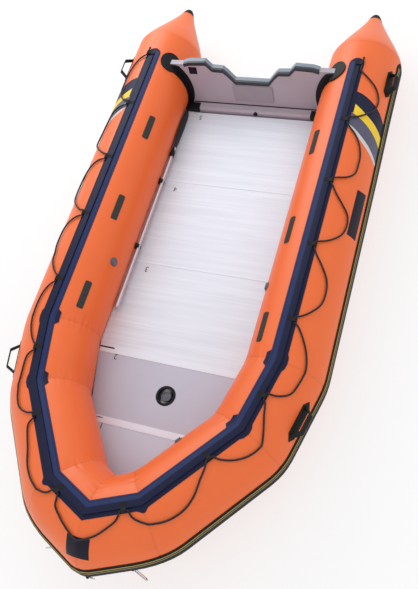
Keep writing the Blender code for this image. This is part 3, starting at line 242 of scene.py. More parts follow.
def coatedFabric(name, colour, tone, seamColour):
    # Polyester cloth coated with PVC: satin, with the cloth's weave just telegraphing through the coat.
    # The weave is 0.9 mm and is drawn at 6 mm so that it shows. The seamTone attribute darkens the seams.
    satinCoat = {"Specular IOR Level": 0.5, "Coat Weight": 0.25, "Coat Roughness": 0.42}
    made, tree, shader = startMaterial(name, satinCoat)
    place = addNode(tree, "ShaderNodeTexCoord").outputs["Object"]
    patches = {"Vector": place, "Scale": 1000 / 260, "Detail": 5.0, "Roughness": 0.55}
    drift = addNode(tree, "ShaderNodeTexNoise", patches).outputs["Fac"]
    tones = {"Factor": drift, "A": toLinear(colour), "B": toLinear(tone)}
    mixed = addNode(tree, "ShaderNodeMix", tones, data_type="RGBA").outputs["Result"]
    seam = addNode(tree, "ShaderNodeAttribute", attribute_name="seamTone").outputs["Fac"]
    marks = {"Factor": seam, "A": mixed, "B": toLinear(seamColour)}
    marked = addNode(tree, "ShaderNodeMix", marks, data_type="RGBA")
    threads = {"Vector": place, "Scale": waveScale(5.92), "Distortion": 1.5}
    warp = addNode(tree, "ShaderNodeTexWave", threads, bands_direction="Y").outputs["Fac"]
    weft = addNode(tree, "ShaderNodeTexWave", threads, bands_direction="Z").outputs["Fac"]
    weave = addNode(tree, "ShaderNodeMath", {0: warp, 1: weft}, operation="MULTIPLY").outputs["Value"]
    slack = addNode(tree, "ShaderNodeTexNoise", {"Vector": place, "Scale": 1000 / 140, "Detail": 2.0})
    heights = {0: slack.outputs["Fac"], 1: 6.0, 2: weave}
    height = addNode(tree, "ShaderNodeMath", heights, operation="MULTIPLY_ADD").outputs["Value"]
    rough = addNode(tree, "ShaderNodeMapRange", {"Value": drift, "To Min": 0.36, "To Max": 0.52})
    bump = addNode(tree, "ShaderNodeBump", {"Height": height, "Strength": 0.5, "Distance": 0.00025})
    feedShader(tree, shader, marked, rough, bump)
    return made


def extrudedPlank(name, colour, tone):
    # Anodised aluminium planks laid across the boat: a soft gloss, with long die lines.
    # The lines are about 3 mm apart and are drawn at 6 mm so that they show.
    made, tree, shader = startMaterial(name, {"Metallic": 0.06, "Specular IOR Level": 0.45})
    place = addNode(tree, "ShaderNodeTexCoord").outputs["Object"]
    fine = {"Vector": place, "Scale": (1.2, 1000 / 6, 1.0)}
    lines = addNode(tree, "ShaderNodeMapping", fine).outputs["Vector"]
    streaks = {"Vector": lines, "Scale": 1.0, "Detail": 3.0, "Roughness": 0.6}
    streak = addNode(tree, "ShaderNodeTexNoise", streaks).outputs["Fac"]
    broad = {"Vector": place, "Scale": (1.5, 1000 / 45, 1.0)}
    bars = addNode(tree, "ShaderNodeMapping", broad).outputs["Vector"]
    bands = addNode(tree, "ShaderNodeTexNoise", {"Vector": bars, "Scale": 1.0, "Detail": 2.0})
    terms = {0: streak, 1: bands.outputs["Fac"]}
    both = addNode(tree, "ShaderNodeMath", terms, operation="MULTIPLY").outputs["Value"]
    share = addNode(tree, "ShaderNodeMapRange", {"Value": both, "From Min": 0.12, "From Max": 0.42})
    tones = {"Factor": share.outputs["Result"], "A": toLinear(tone), "B": toLinear(colour)}
    mixed = addNode(tree, "ShaderNodeMix", tones, data_type="RGBA")
    rough = addNode(tree, "ShaderNodeMapRange", {"Value": streak, "To Min": 0.38, "To Max": 0.55})
    bump = addNode(tree, "ShaderNodeBump", {"Height": streak, "Strength": 0.4, "Distance": 0.0003})
    feedShader(tree, shader, mixed, rough, bump)
    return made


def edgedMoulding(name, colour, tone, edgeColour):
    # The transom's cap: one moulding, dark over its forward edge and lighter behind it
    made = surface(name, colour, tone, 40, 3, 0.12, satin, (0.35, 0.5))
    tree = made.node_tree
    shader = tree.nodes["Principled BSDF"]
    place = addNode(tree, "ShaderNodeTexCoord").outputs["Object"]
    split = addNode(tree, "ShaderNodeSeparateXYZ", {"Vector": place}).outputs
    lean = transomPlane["lean"]
    terms = {0: split["Z"], 1: -lean, 2: split["Y"]}
    upright = addNode(tree, "ShaderNodeMath", terms, operation="MULTIPLY_ADD").outputs["Value"]
    middle = shift - transomPlane["station"] - lean * tube["radius"]
    low, high = middle + transomPlane["edgeFront"], middle + transomPlane["edgeBack"]
    across = addNode(tree, "ShaderNodeMapRange", {"Value": upright, "From Min": low, "From Max": high})
    plain = shader.inputs["Base Color"].links[0].from_socket
    tones = {"Factor": across.outputs["Result"], "A": toLinear(edgeColour), "B": plain}
    both = addNode(tree, "ShaderNodeMix", tones, data_type="RGBA")
    tree.links.new(both.outputs["Result"], shader.inputs["Base Color"])
    return made


def braidedRope(name, colour, tone):
    # Braided polyester, 11 mm thick, of 2.4 mm strands, with a dull sheen. A strand is drawn 5 mm wide, and
    # the braid repeats every 16 mm along the rope, so that both show.
    made, tree, shader = startMaterial(name, {"Sheen Weight": 0.15, "Specular IOR Level": 0.35})
    place = addNode(tree, "ShaderNodeTexCoord").outputs["Object"]
    turns = {"Vector": place, "Scale": waveScale(7.89), "Distortion": 0.6}
    braid = addNode(tree, "ShaderNodeTexWave", turns, bands_direction="DIAGONAL").outputs["Fac"]
    strand = addNode(tree, "ShaderNodeTexNoise", {"Vector": place, "Scale": 1000 / 5, "Detail": 2.0})
    terms = {0: braid, 1: strand.outputs["Fac"]}
    both = addNode(tree, "ShaderNodeMath", terms, operation="MULTIPLY").outputs["Value"]
    tones = {"Factor": both, "A": toLinear(colour), "B": toLinear(tone)}
    mixed = addNode(tree, "ShaderNodeMix", tones, data_type="RGBA")
    rough = addNode(tree, "ShaderNodeMapRange", {"Value": both, "To Min": 0.7, "To Max": 0.9})
    bump = addNode(tree, "ShaderNodeBump", {"Height": both, "Strength": 0.8, "Distance": 0.0008})
    feedShader(tree, shader, mixed, rough, bump)
    return made


# The transom's plane, for the two tones of its cap and for the marks on it
transomPlane = {
    "station": 0.125,
    "lean": math.tan(math.radians(10)),
    "edgeFront": -0.008,
    "edgeBack": -0.004,
}
satin = {"Specular IOR Level": 0.5}
dull = {"Specular IOR Level": 0.2}
finishes = {
    # Coated cloth, orange on the tubes and grey under the floor
    "orangeFabric": coatedFabric("orangeCoatedFabric", "#E9621C", "#ED6B23", "#D55817"),
    "greyFabric": coatedFabric("greyCoatedFabric", "#A9A8B2", "#B2B1BA", "#8C8B94"),
    # Extruded rubber profile: matt, with a fine grain
    "blackRubber": surface("extrudedBlackRubber", "#151214", "#1D1A1B", 60, 3, 0.15, dull, (0.5, 0.68)),
    # Moulded rubber of the handles and patches: fine cloth print
    "patchRubber": surface("mouldedPatchRubber", "#131614", "#1C1F1D", 25, 2.5, 0.25, dull, (0.55, 0.75)),
    # Dark blue non-slip strip: PVC with a pebble grain
    "blueStrip": surface("pebbledBluePvc", "#0F1330", "#161B3C", 40, 3, 0.30, dull, (0.42, 0.6)),
    # Rubber of the side pads: dull, its ribs drawn as a coarse grain
    "greyPad": surface("ribbedGreyRubber", "#303535", "#3A3F3E", 20, 3, 0.35, dull, (0.6, 0.75)),
    "rope": braidedRope("braidedBlackRope", "#170E10", "#33262A"),
    # Painted plywood boards: smooth coat with a faint roller texture
    "board": surface("rolledGreyPaint", "#C3C5D5", "#BABCCD", 180, 5, 0.12, satin, (0.42, 0.55)),
    # Board 1 has the same grey paint as board 2, made paler and bluer as painted light against the shade
    # and orange light from the tubes round it
    "frontBoardPaintedLight": surface("rolledGreyPaintPaintedLight", "#CDD4E6", "#C4CBDD", 180, 5, 0.12, satin, (0.42, 0.55)),
    "transomBoard": surface("rolledGreyTransomPaint", "#B4AAB6", "#AAA0AC", 150, 4, 0.12, satin,
                            (0.42, 0.55)),
    "plank": extrudedPlank("anodisedPlank", "#E7EDF8", "#DAE0EC"),
    # Extruded and moulded PVC: smooth, with a soft gloss
    "whiteProfile": surface("extrudedWhitePvc", "#EAF0FC", "#E1E7F3", 60, 3, 0.08, satin, (0.3, 0.4)),
    "lightMoulding": edgedMoulding("mouldedGreyPvc", "#7D8896", "#8892A0", "#2C323C"),
    # Foam seal: black and dull; the same black is laid in two floor joints as painted shade of their gaps
    "darkSealAndGapShade": surface("blackSealAndGapShade", "#16171B", "#1F2025", 30, 2, 0.1, dull, (0.5, 0.6)),
    # Moulded nylon: a faint mould texture, the grey one a little glossier
    "blackPlastic": surface("mouldedBlackNylon", "#101114", "#18191D", 30, 2, 0.12, dull, (0.4, 0.55)),
    "greyPlastic": surface("mouldedGreyNylon", "#5A5C66", "#666873", 20, 2, 0.12, satin, (0.38, 0.5)),
    # Anodised tube: faint draw lines along the oar
    "aluminium": surface("anodisedTube", "#D9D9E0", "#CBCBD4", 15, 1.5, 0.04, {"Metallic": 0.85},
                         (0.26, 0.36), (6, 0.3, 6)),
    # Polished stainless steel: bright, with hardly any grain
    "steel": surface("polishedStainless", "#D5D6D8", "#C6C8CB", 10, 1, 0.02, {"Metallic": 1.0},
                     (0.14, 0.24)),
    # Cut PVC film glued on: even and smooth, the dark ones duller
    "yellowFilm": surface("yellowPvcFilm", "#F2CB12", "#E9C01A", 90, 3, 0.08, satin, (0.36, 0.48)),
    "navyFilm": surface("navyPvcFilm", "#151733", "#1A1D3A", 90, 3, 0.08, dull, (0.36, 0.48)),
    # The top strip's inboard band: a lighter blue, a painted highlight where the strip's inboard slope
    # faces the light
    "stripHighlight": surface("paintedHighlightBluePvc", "#1E2C5A", "#243362", 60, 3, 0.10, dull, (0.36, 0.48)),
    "labelFilm": surface("plainLabelFilm", "#150F20", "#1C1628", 60, 3, 0.05, dull, (0.36, 0.48)),
    "slateFilm": surface("slatePvcFilm", "#4C4B63", "#54536B", 90, 3, 0.08, satin, (0.36, 0.48)),
    "paleFilm": surface("palePvcFilm", "#C8C4C4", "#D2CECD", 90, 3, 0.08, satin, (0.36, 0.48)),
    "pinstripe": surface("oliveYellowPvc", "#A8975A", "#978748", 50, 3, 0.06, satin, (0.36, 0.48)),
    # Rolled paint on the motor pads, a shade darker than the board
    "transomPad": surface("rolledGreyPad", "#A29AA4", "#9A929C", 60, 3, 0.2, dull, (0.5, 0.6)),
    # Pad-printed ink of the numbers: flat and dull
    "numberInk": surface("blackPadInk", "#1B1A22", "#26252E", 12, 1, 0.02, dull, (0.5, 0.6)),
}
print("materials made:", len(finishes))


# Small makers

def addPiece(name, mesh, finish, sharpAngle=35):
    bmesh.ops.recalc_face_normals(mesh, faces=mesh.faces)
    data = bpy.data.meshes.new(name)
    mesh.to_mesh(data)
    mesh.free()
    data.materials.append(finishes[finish])
    data.shade_smooth()
    data.set_sharp_from_angle(angle=math.radians(sharpAngle))
    piece = bpy.data.objects.new(name, data)
    scene.collection.objects.link(piece)
    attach(piece, "hull")
    return piece


def bridgeRings(mesh, rows, closed):
    # Quads between rows of vertices of equal count
    for row, after in zip(rows, rows[1:]):
        count = len(row)
        for number in range(count if closed else count - 1):
            following = (number + 1) % count
            corners = (row[number], row[following], after[following], after[number])
            if len(set(corners)) > 2:
                face = [corner for place, corner in enumerate(corners) if corner not in corners[:place]]
                mesh.faces.new(face)


def smoothThrough(points, steps):
    # A smooth curve through points, steps per span
    before = 2 * points[0] - points[1]
    after = 2 * points[-1] - points[-2]
    knots = [before] + points + [after]
    found = [points[0]]
    for span in range(len(points) - 1):
        a, b, c, d = knots[span:span + 4]
        for step in range(1, steps + 1):
            t = step / steps
            bend = (2 * a - 5 * b + 4 * c - d) * t ** 2 + (3 * b - a - 3 * c + d) * t ** 3
            found.append((2 * b + (c - a) * t + bend) / 2)
    return found


# Grab line: one rope in three lengths, through a keeper at each share of the tube's line
rope = {
    "diameter": 0.011,
    "keeperShares": (0.014, 0.143, 0.273, 0.400, 0.538, 0.673, 0.803, 0.945),
    "keeperOffset": 0.0314,
    "keeperLift": 0.0115,
    "keeperLength": 0.030,
    "bightLift": 0.0088,
    "straight": 0.004,
    "tail": 0.030,
    "routeSteps": 3,
    "bevelSteps": 4,
    "portBights": (
        ((0.13, 8), (0.24, 22), (0.36, 37), (0.52, 45), (0.69, 42), (0.81, 32), (0.91, 20)),
        ((0.11, 12), (0.20, 22), (0.32, 31), (0.47, 37), (0.63, 38), (0.78, 36), (0.89, 25)),
        ((0.09, 11), (0.20, 19), (0.31, 30), (0.43, 41), (0.60, 43), (0.75, 37), (0.89, 22)),
        ((0.12, 12), (0.22, 21), (0.37, 33), (0.52, 37), (0.69, 35), (0.83, 25), (0.92, 15)),
        ((0.07, 13), (0.18, 22), (0.33, 31), (0.50, 36), (0.68, 36), (0.83, 33), (0.93, 20)),
        ((0.08, 11), (0.21, 17), (0.35, 25), (0.50, 32), (0.66, 32), (0.80, 26), (0.91, 16)),
        ((0.10, 13), (0.21, 21), (0.33, 31), (0.47, 37), (0.63, 36), (0.78, 29), (0.92, 18)),
    ),
    "starboardBights": (
        ((0.10, 20), (0.23, 30), (0.37, 35), (0.52, 37), (0.68, 36), (0.82, 30), (0.92, 20)),
        ((0.06, 22), (0.15, 35), (0.33, 40), (0.50, 44), (0.67, 49), (0.80, 36), (0.92, 18)),
        ((0.06, 22), (0.16, 36), (0.31, 46), (0.50, 50), (0.68, 46), (0.82, 33), (0.93, 18)),
        ((0.07, 22), (0.18, 38), (0.32, 43), (0.45, 42), (0.58, 36), (0.71, 32), (0.88, 18)),
        ((0.10, 17), (0.22, 24), (0.37, 26), (0.50, 25), (0.66, 24), (0.80, 19), (0.92, 12)),
        ((0.08, 17), (0.18, 21), (0.33, 22), (0.50, 24), (0.66, 29), (0.80, 28), (0.92, 17)),
        ((0.08, 18), (0.20, 22), (0.35, 25), (0.50, 30), (0.65, 29), (0.80, 23), (0.92, 17)),
    ),
    "bowPort": ((0.20, 16), (0.40, 23), (0.62, 29), (0.83, 31)),
    "bowStarboard": ((0.20, 19), (0.40, 24), (0.62, 28), (0.83, 30)),
}
keeperLevel = math.degrees(rope["keeperOffset"] / tube["radius"])
keeperHalf = rope["keeperLength"] / 2 + rope["straight"]

# Stopper knot: a strand wound round twice, its sizes given as shares of the knot's radius
knot = {
    "radius": 0.0085,
    "turnSteps": 26,
    "strandSteps": 8,
    "windings": 2,
    "lobes": 3,
    "bulge": 0.62,
    "swing": 0.16,
    "spread": 0.62,
    "length": 0.35,
    "strand": 0.5,
}


def keeperAlong(number):
    return bends[-1] * rope["keeperShares"][number]


def atKeeper(along):
    return Vector((along, keeperLevel, rope["keeperLift"]))


def withMitres(route):
    # A rope point on each mitre that the route passes, so that it stays outside the tube
    found = [route[0]]
    for point in route[1:]:
        for bend in bends[1:-1]:
            if found[-1].x < bend < point.x:
                found.append(found[-1].lerp(point, (bend - found[-1].x) / (point.x - found[-1].x)))
        found.append(point)
    return found


def sideRoute(bights):
    # From the stopper knot to the foremost keeper, as (along, degrees from the tube's top, lift)
    route = [atKeeper(keeperAlong(0) - rope["keeperLength"] / 2 - rope["tail"])]
    for number, bight in enumerate(bights):
        here, there = keeperAlong(number), keeperAlong(number + 1)
        span, lift = there - here, rope["bightLift"]
        points = [atKeeper(here + keeperHalf)]
        points += [Vector((here + span * share, level, lift)) for share, level in bight]
        points.append(atKeeper(there - keeperHalf))
        route.append(atKeeper(here - keeperHalf))
        route += smoothThrough(points, rope["routeSteps"])
    route.append(atKeeper(keeperAlong(len(bights)) - tube["gap"] / 2))
    return withMitres(route)


def ropeCurve(name, points):
    curve = bpy.data.curves.new(name, "CURVE")
    curve.dimensions = "3D"
    curve.bevel_depth = rope["diameter"] / 2
    curve.bevel_resolution = rope["bevelSteps"]
    curve.use_fill_caps = True
    spline = curve.splines.new("POLY")
    spline.points.add(len(points) - 1)
    for splinePoint, point in zip(spline.points, points):
        splinePoint.co = (*point, 1)
    curve.materials.append(finishes["rope"])
    piece = bpy.data.objects.new(name, curve)
    scene.collection.objects.link(piece)
    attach(piece, "hull")
    return piece


def stopperKnot(name, centre, direction):
    # The rope's own width wound round itself
    side = direction.cross(Vector((0, 0, 1))).normalized()
    up = side.cross(direction)
    mesh = bmesh.new()
    rows = []
    radius = knot["radius"]
    for step in range(knot["turnSteps"]):
        t = 2 * math.pi * step / knot["turnSteps"]
        bulge = radius * (knot["bulge"] + knot["swing"] * math.cos(knot["lobes"] * t))
        outward = math.cos(knot["windings"] * t) * side + math.sin(knot["windings"] * t) * up
        middle = centre + direction * (knot["length"] * radius * math.sin(knot["lobes"] * t))
        middle += bulge * knot["spread"] * outward
        row = []
        for part in range(knot["strandSteps"]):
            turn = 2 * math.pi * part / knot["strandSteps"]
            away = math.cos(turn) * outward + math.sin(turn) * direction
            row.append(mesh.verts.new(middle + radius * knot["strand"] * away))
        rows.append(row)
    bridgeRings(mesh, rows + [rows[0]], True)
    return addPiece(name, mesh, "rope")


def makeRopes():
    for sideName, side in (("Port", 1), ("Starboard", -1)):
        route = sideRoute(rope[sideName.lower() + "Bights"])
        points = [skinPoint(*stop, side) for stop in route][::-1]
        piece = ropeCurve("grabLine" + sideName, points)
        stopper = stopperKnot("stopperKnot" + sideName, points[-1], Vector((0, 1, 0)))
        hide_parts("grab_line_" + sideName.lower())
    last = keeperAlong(len(rope["keeperShares"]) - 1)
    rest = bends[-1] - last
    middleLevel = (rope["bowPort"][-1][1] + rope["bowStarboard"][-1][1]) / 2
    lift = rope["bightLift"]
    middle = Vector((bends[-1], middleLevel, lift))
    sides = []
    for side, bight in ((1, rope["bowPort"]), (-1, rope["bowStarboard"])):
        half = [atKeeper(last + rope["keeperLength"] / 2 + rope["straight"])]
        half += [Vector((last + rest * share, level, lift)) for share, level in bight] + [middle]
        half = [atKeeper(last + tube["gap"] / 2)] + smoothThrough(half, rope["routeSteps"])
        sides.append([skinPoint(*stop, side) for stop in half])
    points = sides[0] + sides[1][-2::-1]
    piece = ropeCurve("grabLineBow", points)
    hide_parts("grab_line_bow")


makeRopes()


# Air chambers: round coated-fabric tubes, with a welded seam and small puckers at each mitre
chamber = {
    "sides": 200,
    "nearSeam": (0.003, 0.007, 0.013, 0.022, 0.035, 0.052, 0.070, 0.090, 0.112, 0.135),
    "rowLength": 0.11,
    "seamWidth": 0.0055,
    "seamDepth": 0.0011,
    "seamTone": 0.45,
    "puckerDepth": 0.0085,
    "puckerReach": 0.050,
    "puckerScale": (14, 9, 6),
    "puckerBias": 0.5,
    "puckerInside": 0.6,
    "puckerLeast": 0.01,
    "coneShares": (
        (0.0, 1.0), (0.03, 0.989), (0.10, 0.945), (0.28, 0.79), (0.55, 0.53), (0.80, 0.30), (1.0, 0.148),
    ),
    "coneSteps": 5,
    "coneSeamRows": 5,
    "spigotRadius": 0.018,
    "spigotLength": 0.014,
}
turns = [2 * math.pi * step / chamber["sides"] for step in range(chamber["sides"])]


def seamAmount(along):
    return max(math.exp(-((along - bend) / chamber["seamWidth"]) ** 2) for bend in bends[1:])


def chamberReach(along, angle):
    # From the tube's line to its skin, drawn in at seams and puckered on the inner side of each bend
    reach = tube["radius"] - chamber["seamDepth"] * seamAmount(along)
    inner = max(0.0, -math.sin(angle)) ** chamber["puckerInside"] * abs(math.cos(angle / 2))
    roundScale, bendScale, alongScale = chamber["puckerScale"]
    for bend in bends[1:]:
        near = math.exp(-((along - bend) / chamber["puckerReach"]) ** 2)
        if near > chamber["puckerLeast"]:
            wave = noise.noise(Vector((angle * roundScale, bend * bendScale, (along - bend) * alongScale)))
            reach -= chamber["puckerDepth"] * near * inner * (chamber["puckerBias"] + wave)
    return reach


def rowStops(start, end):
    stops = {start, end}
    for bend in bends[1:]:
        for away in (0.0, *chamber["nearSeam"]):
            stops.update(place for place in (bend - away, bend + away) if start < place < end)
    ordered = sorted(stops)
    filled = [ordered[0]]
    for place in ordered[1:]:
        count = max(1, math.ceil((place - filled[-1]) / chamber["rowLength"]))
        begin = filled[-1]
        filled += [begin + (place - begin) * step / count for step in range(1, count + 1)]
    return filled


def chamberRow(along):
    return [softPoint(along, turn, chamberReach(along, turn)) for turn in turns]


def coneProfile():
    knots = [Vector((ahead, wide, 0)) for ahead, wide in chamber["coneShares"]]
    return smoothThrough(knots, chamber["coneSteps"])


def coneRing(ahead, radius, aft=0.0):
    # A ring of the port cone, ahead being the share of its length from its base to its tip
    back = tube["coneStart"] + tube["coneLength"] * ahead + aft
    centre = runs[0][0] + Vector((-tube["coneToeIn"] * ahead, back, 0))
    return [centre + radius * Vector((math.sin(turn), 0, math.cos(turn))) for turn in turns]


def coneRows():
    # The stern cone on a smooth profile, from its spigot to the seam at its base
    spigot = chamber["spigotRadius"]
    rows, tones = [coneRing(1.0, spigot, chamber["spigotLength"]), coneRing(1.0, spigot)], [0.0, 0.0]
    for ahead, wide, _ in reversed(coneProfile()):
        seam = math.exp(-((tube["coneLength"] * ahead) / chamber["seamWidth"]) ** 2)
        rows.append(coneRing(ahead, tube["radius"] * wide - chamber["seamDepth"] * seam))
        tones.append(seam)
    for away in chamber["nearSeam"][:chamber["coneSeamRows"]]:
        seam = math.exp(-(away / chamber["seamWidth"]) ** 2)
        rows.append(coneRing(0.0, tube["radius"] - chamber["seamDepth"] * seam, -away))
        tones.append(seam)
    return rows, tones


def fillChamber(name, rows, tones, mirrored, replaced):
    mesh = bmesh.new()
    layer = mesh.verts.layers.float.new("seamTone")
    side = -1 if mirrored else 1
    made = []
    for row, tone in zip(rows, tones):
        ring = []
        for point in row:
            vertex = mesh.verts.new(onSide(point, side))
            vertex[layer] = chamber["seamTone"] * tone
            ring.append(vertex)
        made.append(ring)
    bridgeRings(mesh, made, True)
    mesh.faces.new(made[0])
    mesh.faces.new(made[-1])
    piece = addPiece(name, mesh, "orangeFabric")
    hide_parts(replaced)


def makeChambers():
    rows, tones = coneRows()
    for along in rowStops(0.0, bends[2]):
        rows.append(chamberRow(along))
        tones.append(seamAmount(along))
    fillChamber("chamberPort", rows, tones, False, "tube_chamber_port")
    fillChamber("chamberStarboard", rows, tones, True, "tube_chamber_starboard")
    stops = rowStops(bends[2], bends[-1])
    rows = [chamberRow(along) for along in stops]
    tones = [seamAmount(along) for along in stops]
    far = [[onSide(point, -1) for point in row] for row in rows[-2::-1]]
    fillChamber("chamberBow", rows + far, tones + tones[-2::-1], False, "tube_chamber_bow")


cuff = {"start": 0.91, "lift": 0.0003, "thickness": 0.0010}


def makeConeCuffs():
    # A thin dark cuff round each cone's end, where its tip is glued on
    skin = [(ahead, tube["radius"] * wide) for ahead, wide, _ in coneProfile() if ahead > cuff["start"]]
    low, high = cuff["lift"], cuff["lift"] + cuff["thickness"]
    rows = [coneRing(ahead, radius + high) for ahead, radius in skin]
    rows += [coneRing(ahead, radius + low) for ahead, radius in skin[::-1]]
    for name, side in (("coneCuffPort", 1), ("coneCuffStarboard", -1)):
        mesh = bmesh.new()
        made = [[mesh.verts.new(onSide(point, side)) for point in row] for row in rows]
        bridgeRings(mesh, made + [made[0]], True)
        addPiece(name, mesh, "patchRubber")


makeChambers()
makeConeCuffs()
print("chambers made")


# Thin sheets and beads laid on the tubes

def solidFromRows(name, topRows, underRows, finish):
    # A thin closed sheet between a grid of top points and the same grid underneath
    mesh = bmesh.new()
    loops = [top + under[::-1] for top, under in zip(topRows, underRows)]
    rows = [[mesh.verts.new(point) for point in loop] for loop in loops]
    bridgeRings(mesh, rows, True)
    for row in (rows[0], rows[-1]):
        for place in range(len(row) // 2 - 1):
            mesh.faces.new((row[place], row[place + 1], row[-place - 2], row[-place - 1]))
    addPiece(name, mesh, finish)


def loftMesh(rows):
    # A closed solid through rings of points, with a face at each end
    mesh = bmesh.new()
    made = [[mesh.verts.new(point) for point in row] for row in rows]
    bridgeRings(mesh, made, True)
    mesh.faces.new(made[0])
    mesh.faces.new(made[-1])
    return mesh


def roundPoint(along, degrees, lift, side=1):
    # On the smooth chamber, where skinPoint is on the faceted solid
    return onSide(softPoint(along, math.radians(degrees), tube["radius"] + lift), side)


strake = {
    "width": 0.100,
    "flange": 0.0035,
    "body": 0.066,
    "lift": 0.013,
    "groove": 0.0035,
    "grooveSpread": 0.013,
    "edgeShare": 0.75,
    "shoulderShare": 0.35,
    "tail": ((-0.135, 0.45, 0.35), (-0.110, 0.80, 0.70), (-0.085, 1.0, 1.0)),
    "angles": ((0.0, 79.5), (0.35, 79.5), (0.85, 84.5), (2.2, 89.0)),
    "stopEvery": 0.04,
    "sharpAngle": 28,
    "grooveMiddle": 0.00825,
    "beadHalf": 0.00165,
    "beadBottom": 0.0097,
    "beadTop": 0.0134,
    "beadStart": -0.080,
    "bandLift": 0.0007,
    "bandDepth": 0.0012,
    "bands": {
        "pinstripeUpper": ((-0.0346, 0.00689), (-0.0330, 0.00975), (-0.0321, 0.01039)),
        "pinstripeLower": ((-0.0265, 0.01300), (-0.0215, 0.01300)),
    },
}


def strakeAngle(along):
    table = strake["angles"]
    for (start, first), (end, second) in zip(table, table[1:]):
        if along <= end:
            return first + (second - first) * max(0.0, along - start) / (end - start)
    return table[-1][1]


def alongStops(start, end, step):
    marks = [start] + [bend for bend in bends[1:] if start < bend < end] + [end]
    found = [marks[0]]
    for begin, finish in zip(marks, marks[1:]):
        count = max(1, math.ceil((finish - begin) / step))
        found += [begin + (finish - begin) * number / count for number in range(1, count + 1)]
    return found


def roundLine(name, sectionAt, stops, middleAngle, place, finish):
    # One length round the boat, of a closed section drawn as (across the tube, lift off the tube)
    rows = []
    for side in (1, -1):
        half = []
        for along in stops:
            middle, section = middleAngle(along), sectionAt(along)
            levels = [middle + math.degrees(across / tube["radius"]) for across, _ in section]
            half.append([place(along, level, lift, side) for level, (_, lift) in zip(levels, section)])
        rows += half if side == 1 else half[-2::-1]
    return addPiece(name, loftMesh(rows), finish, strake["sharpAngle"])


def strakeSection(along):
    # The solid's own section, which swells from its tail to full size
    tail = strake["tail"]
    wide, high = tail[0][1:]
    for (start, *first), (end, *second) in zip(tail, tail[1:]):
        share = min(1.0, max(0.0, (along - start) / (end - start)))
        wide += (second[0] - first[0]) * share
        high += (second[1] - first[1]) * share
    half, body = strake["width"] / 2 * wide, strake["body"] / 2 * wide
    top, low = strake["lift"] * high, strake["flange"] * high
    near = strake["grooveSpread"] / 2 * wide
    far, deep = near + strake["groove"], top - strake["groove"] * high
    shoulder = body - strake["lift"] * strake["shoulderShare"]
    side = [(near, top), (near, deep), (far, deep), (far, top), (shoulder, top)]
    side += [(body, top * strake["edgeShare"]), (body + low, low), (half, low), (half, 0)]
    return [(-across, lift) for across, lift in side[::-1]] + side


def makeStrake():
    # The rubber profile is drawn again here, as it bends round the corners that are sharp in the solid
    stops = [start for start, _, _ in strake["tail"][:-1]]
    stops += alongStops(strake["tail"][-1][0], bends[-1], strake["stopEvery"])
    piece = roundLine("rubStrake", strakeSection, stops, strakeAngle, roundPoint,
                      "blackRubber")
    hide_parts("rub_strake")


def makeStrakeLines():
    # Black beads fill the strake's grooves, and two light lines run along its upper half
    stops = alongStops(strake["beadStart"], bends[-1], strake["stopEvery"])
    half, low, high = strake["beadHalf"], strake["beadBottom"], strake["beadTop"]
    lines = []
    for name, middle in (("Upper", -strake["grooveMiddle"]), ("Lower", strake["grooveMiddle"])):
        near, far = middle - half, middle + half
        section = [(near, low), (near, high), (far, high), (far, low)]
        lines.append(("grooveBead" + name, section, "blackRubber"))
    for name, slope in strake["bands"].items():
        top = [(across, lift + strake["bandLift"]) for across, lift in slope]
        under = [(across, lift - strake["bandDepth"]) for across, lift in slope[::-1]]
        lines.append((name, top + under, "pinstripe"))
    for name, section, finish in lines:
        roundLine(name, lambda along: section, stops, strakeAngle, roundPoint, finish)


makeStrake()
makeStrakeLines()

# Top strip: a brighter blue band laid along its inboard edge beside the ridge, a painted highlight where
# the inboard slope faces the light
strip = {
    "bandStart": 0.030,
    "bandStep": 0.10,
    "bandEdges": (-0.0575, -0.0190),
    "bandLift": 0.0026,
    "bandDepth": 0.0003,
    "strapHalf": 0.0130,
    "strapRidge": (-0.0165, 0.0, 0.0165),
    "strapLift": 0.0123,
    "strapRadius": 0.0094,
    "strapTurns": (150, 120, 90, 60, 30, 0),
    "strapFoot": 0.0028,
    "strapThickness": 0.0008,
}


def makeStripBand():
    stops = alongStops(strip["bandStart"], bends[-1], strip["bandStep"])
    outer, inner = strip["bandEdges"]
    fold = -2 * math.pi * tube["radius"] / tube["facets"]
    top = [(across, strip["bandLift"]) for across in (outer, fold, inner)]
    section = top + [(across, lift - strip["bandDepth"]) for across, lift in top[::-1]]
    roundLine("stripHighlightBand", lambda along: section, stops, lambda along: 0.0, skinPoint,
              "stripHighlight")


makeStripBand()


def strapLine(extra):
    # Across the ridge and over the keeper, as (across the tube, lift off the tube)
    line = [(across, strip["strapLift"] + extra) for across in strip["strapRidge"]]
    for degrees in strip["strapTurns"]:
        turn, radius = math.radians(degrees), strip["strapRadius"] + extra
        across = rope["keeperOffset"] + radius * math.cos(turn)
        line.append((across, rope["keeperLift"] + radius * math.sin(turn)))
    return line + [(line[-1][0], strip["strapFoot"])]


def makeKeeperStraps():
    # A black strap holds each keeper down, from the top of the ridge to the strip's outboard edge
    for sideName, side in (("Port", 1), ("Starboard", -1)):
        for number in range(len(rope["keeperShares"])):
            tops, unders = [], []
            for away in (-strip["strapHalf"], 0.0, strip["strapHalf"]):
                along = keeperAlong(number) + away
                for extra, rows in ((strip["strapThickness"], tops), (0.0, unders)):
                    line = [(math.degrees(wide / tube["radius"]), lift) for wide, lift in strapLine(extra)]
                    rows.append([skinPoint(along, level, lift, side) for level, lift in line])
            solidFromRows(f"keeperStrap{sideName}{number + 1}", tops, unders, "blackRubber")


makeKeeperStraps()
print("strake, strip band and keeper straps made")

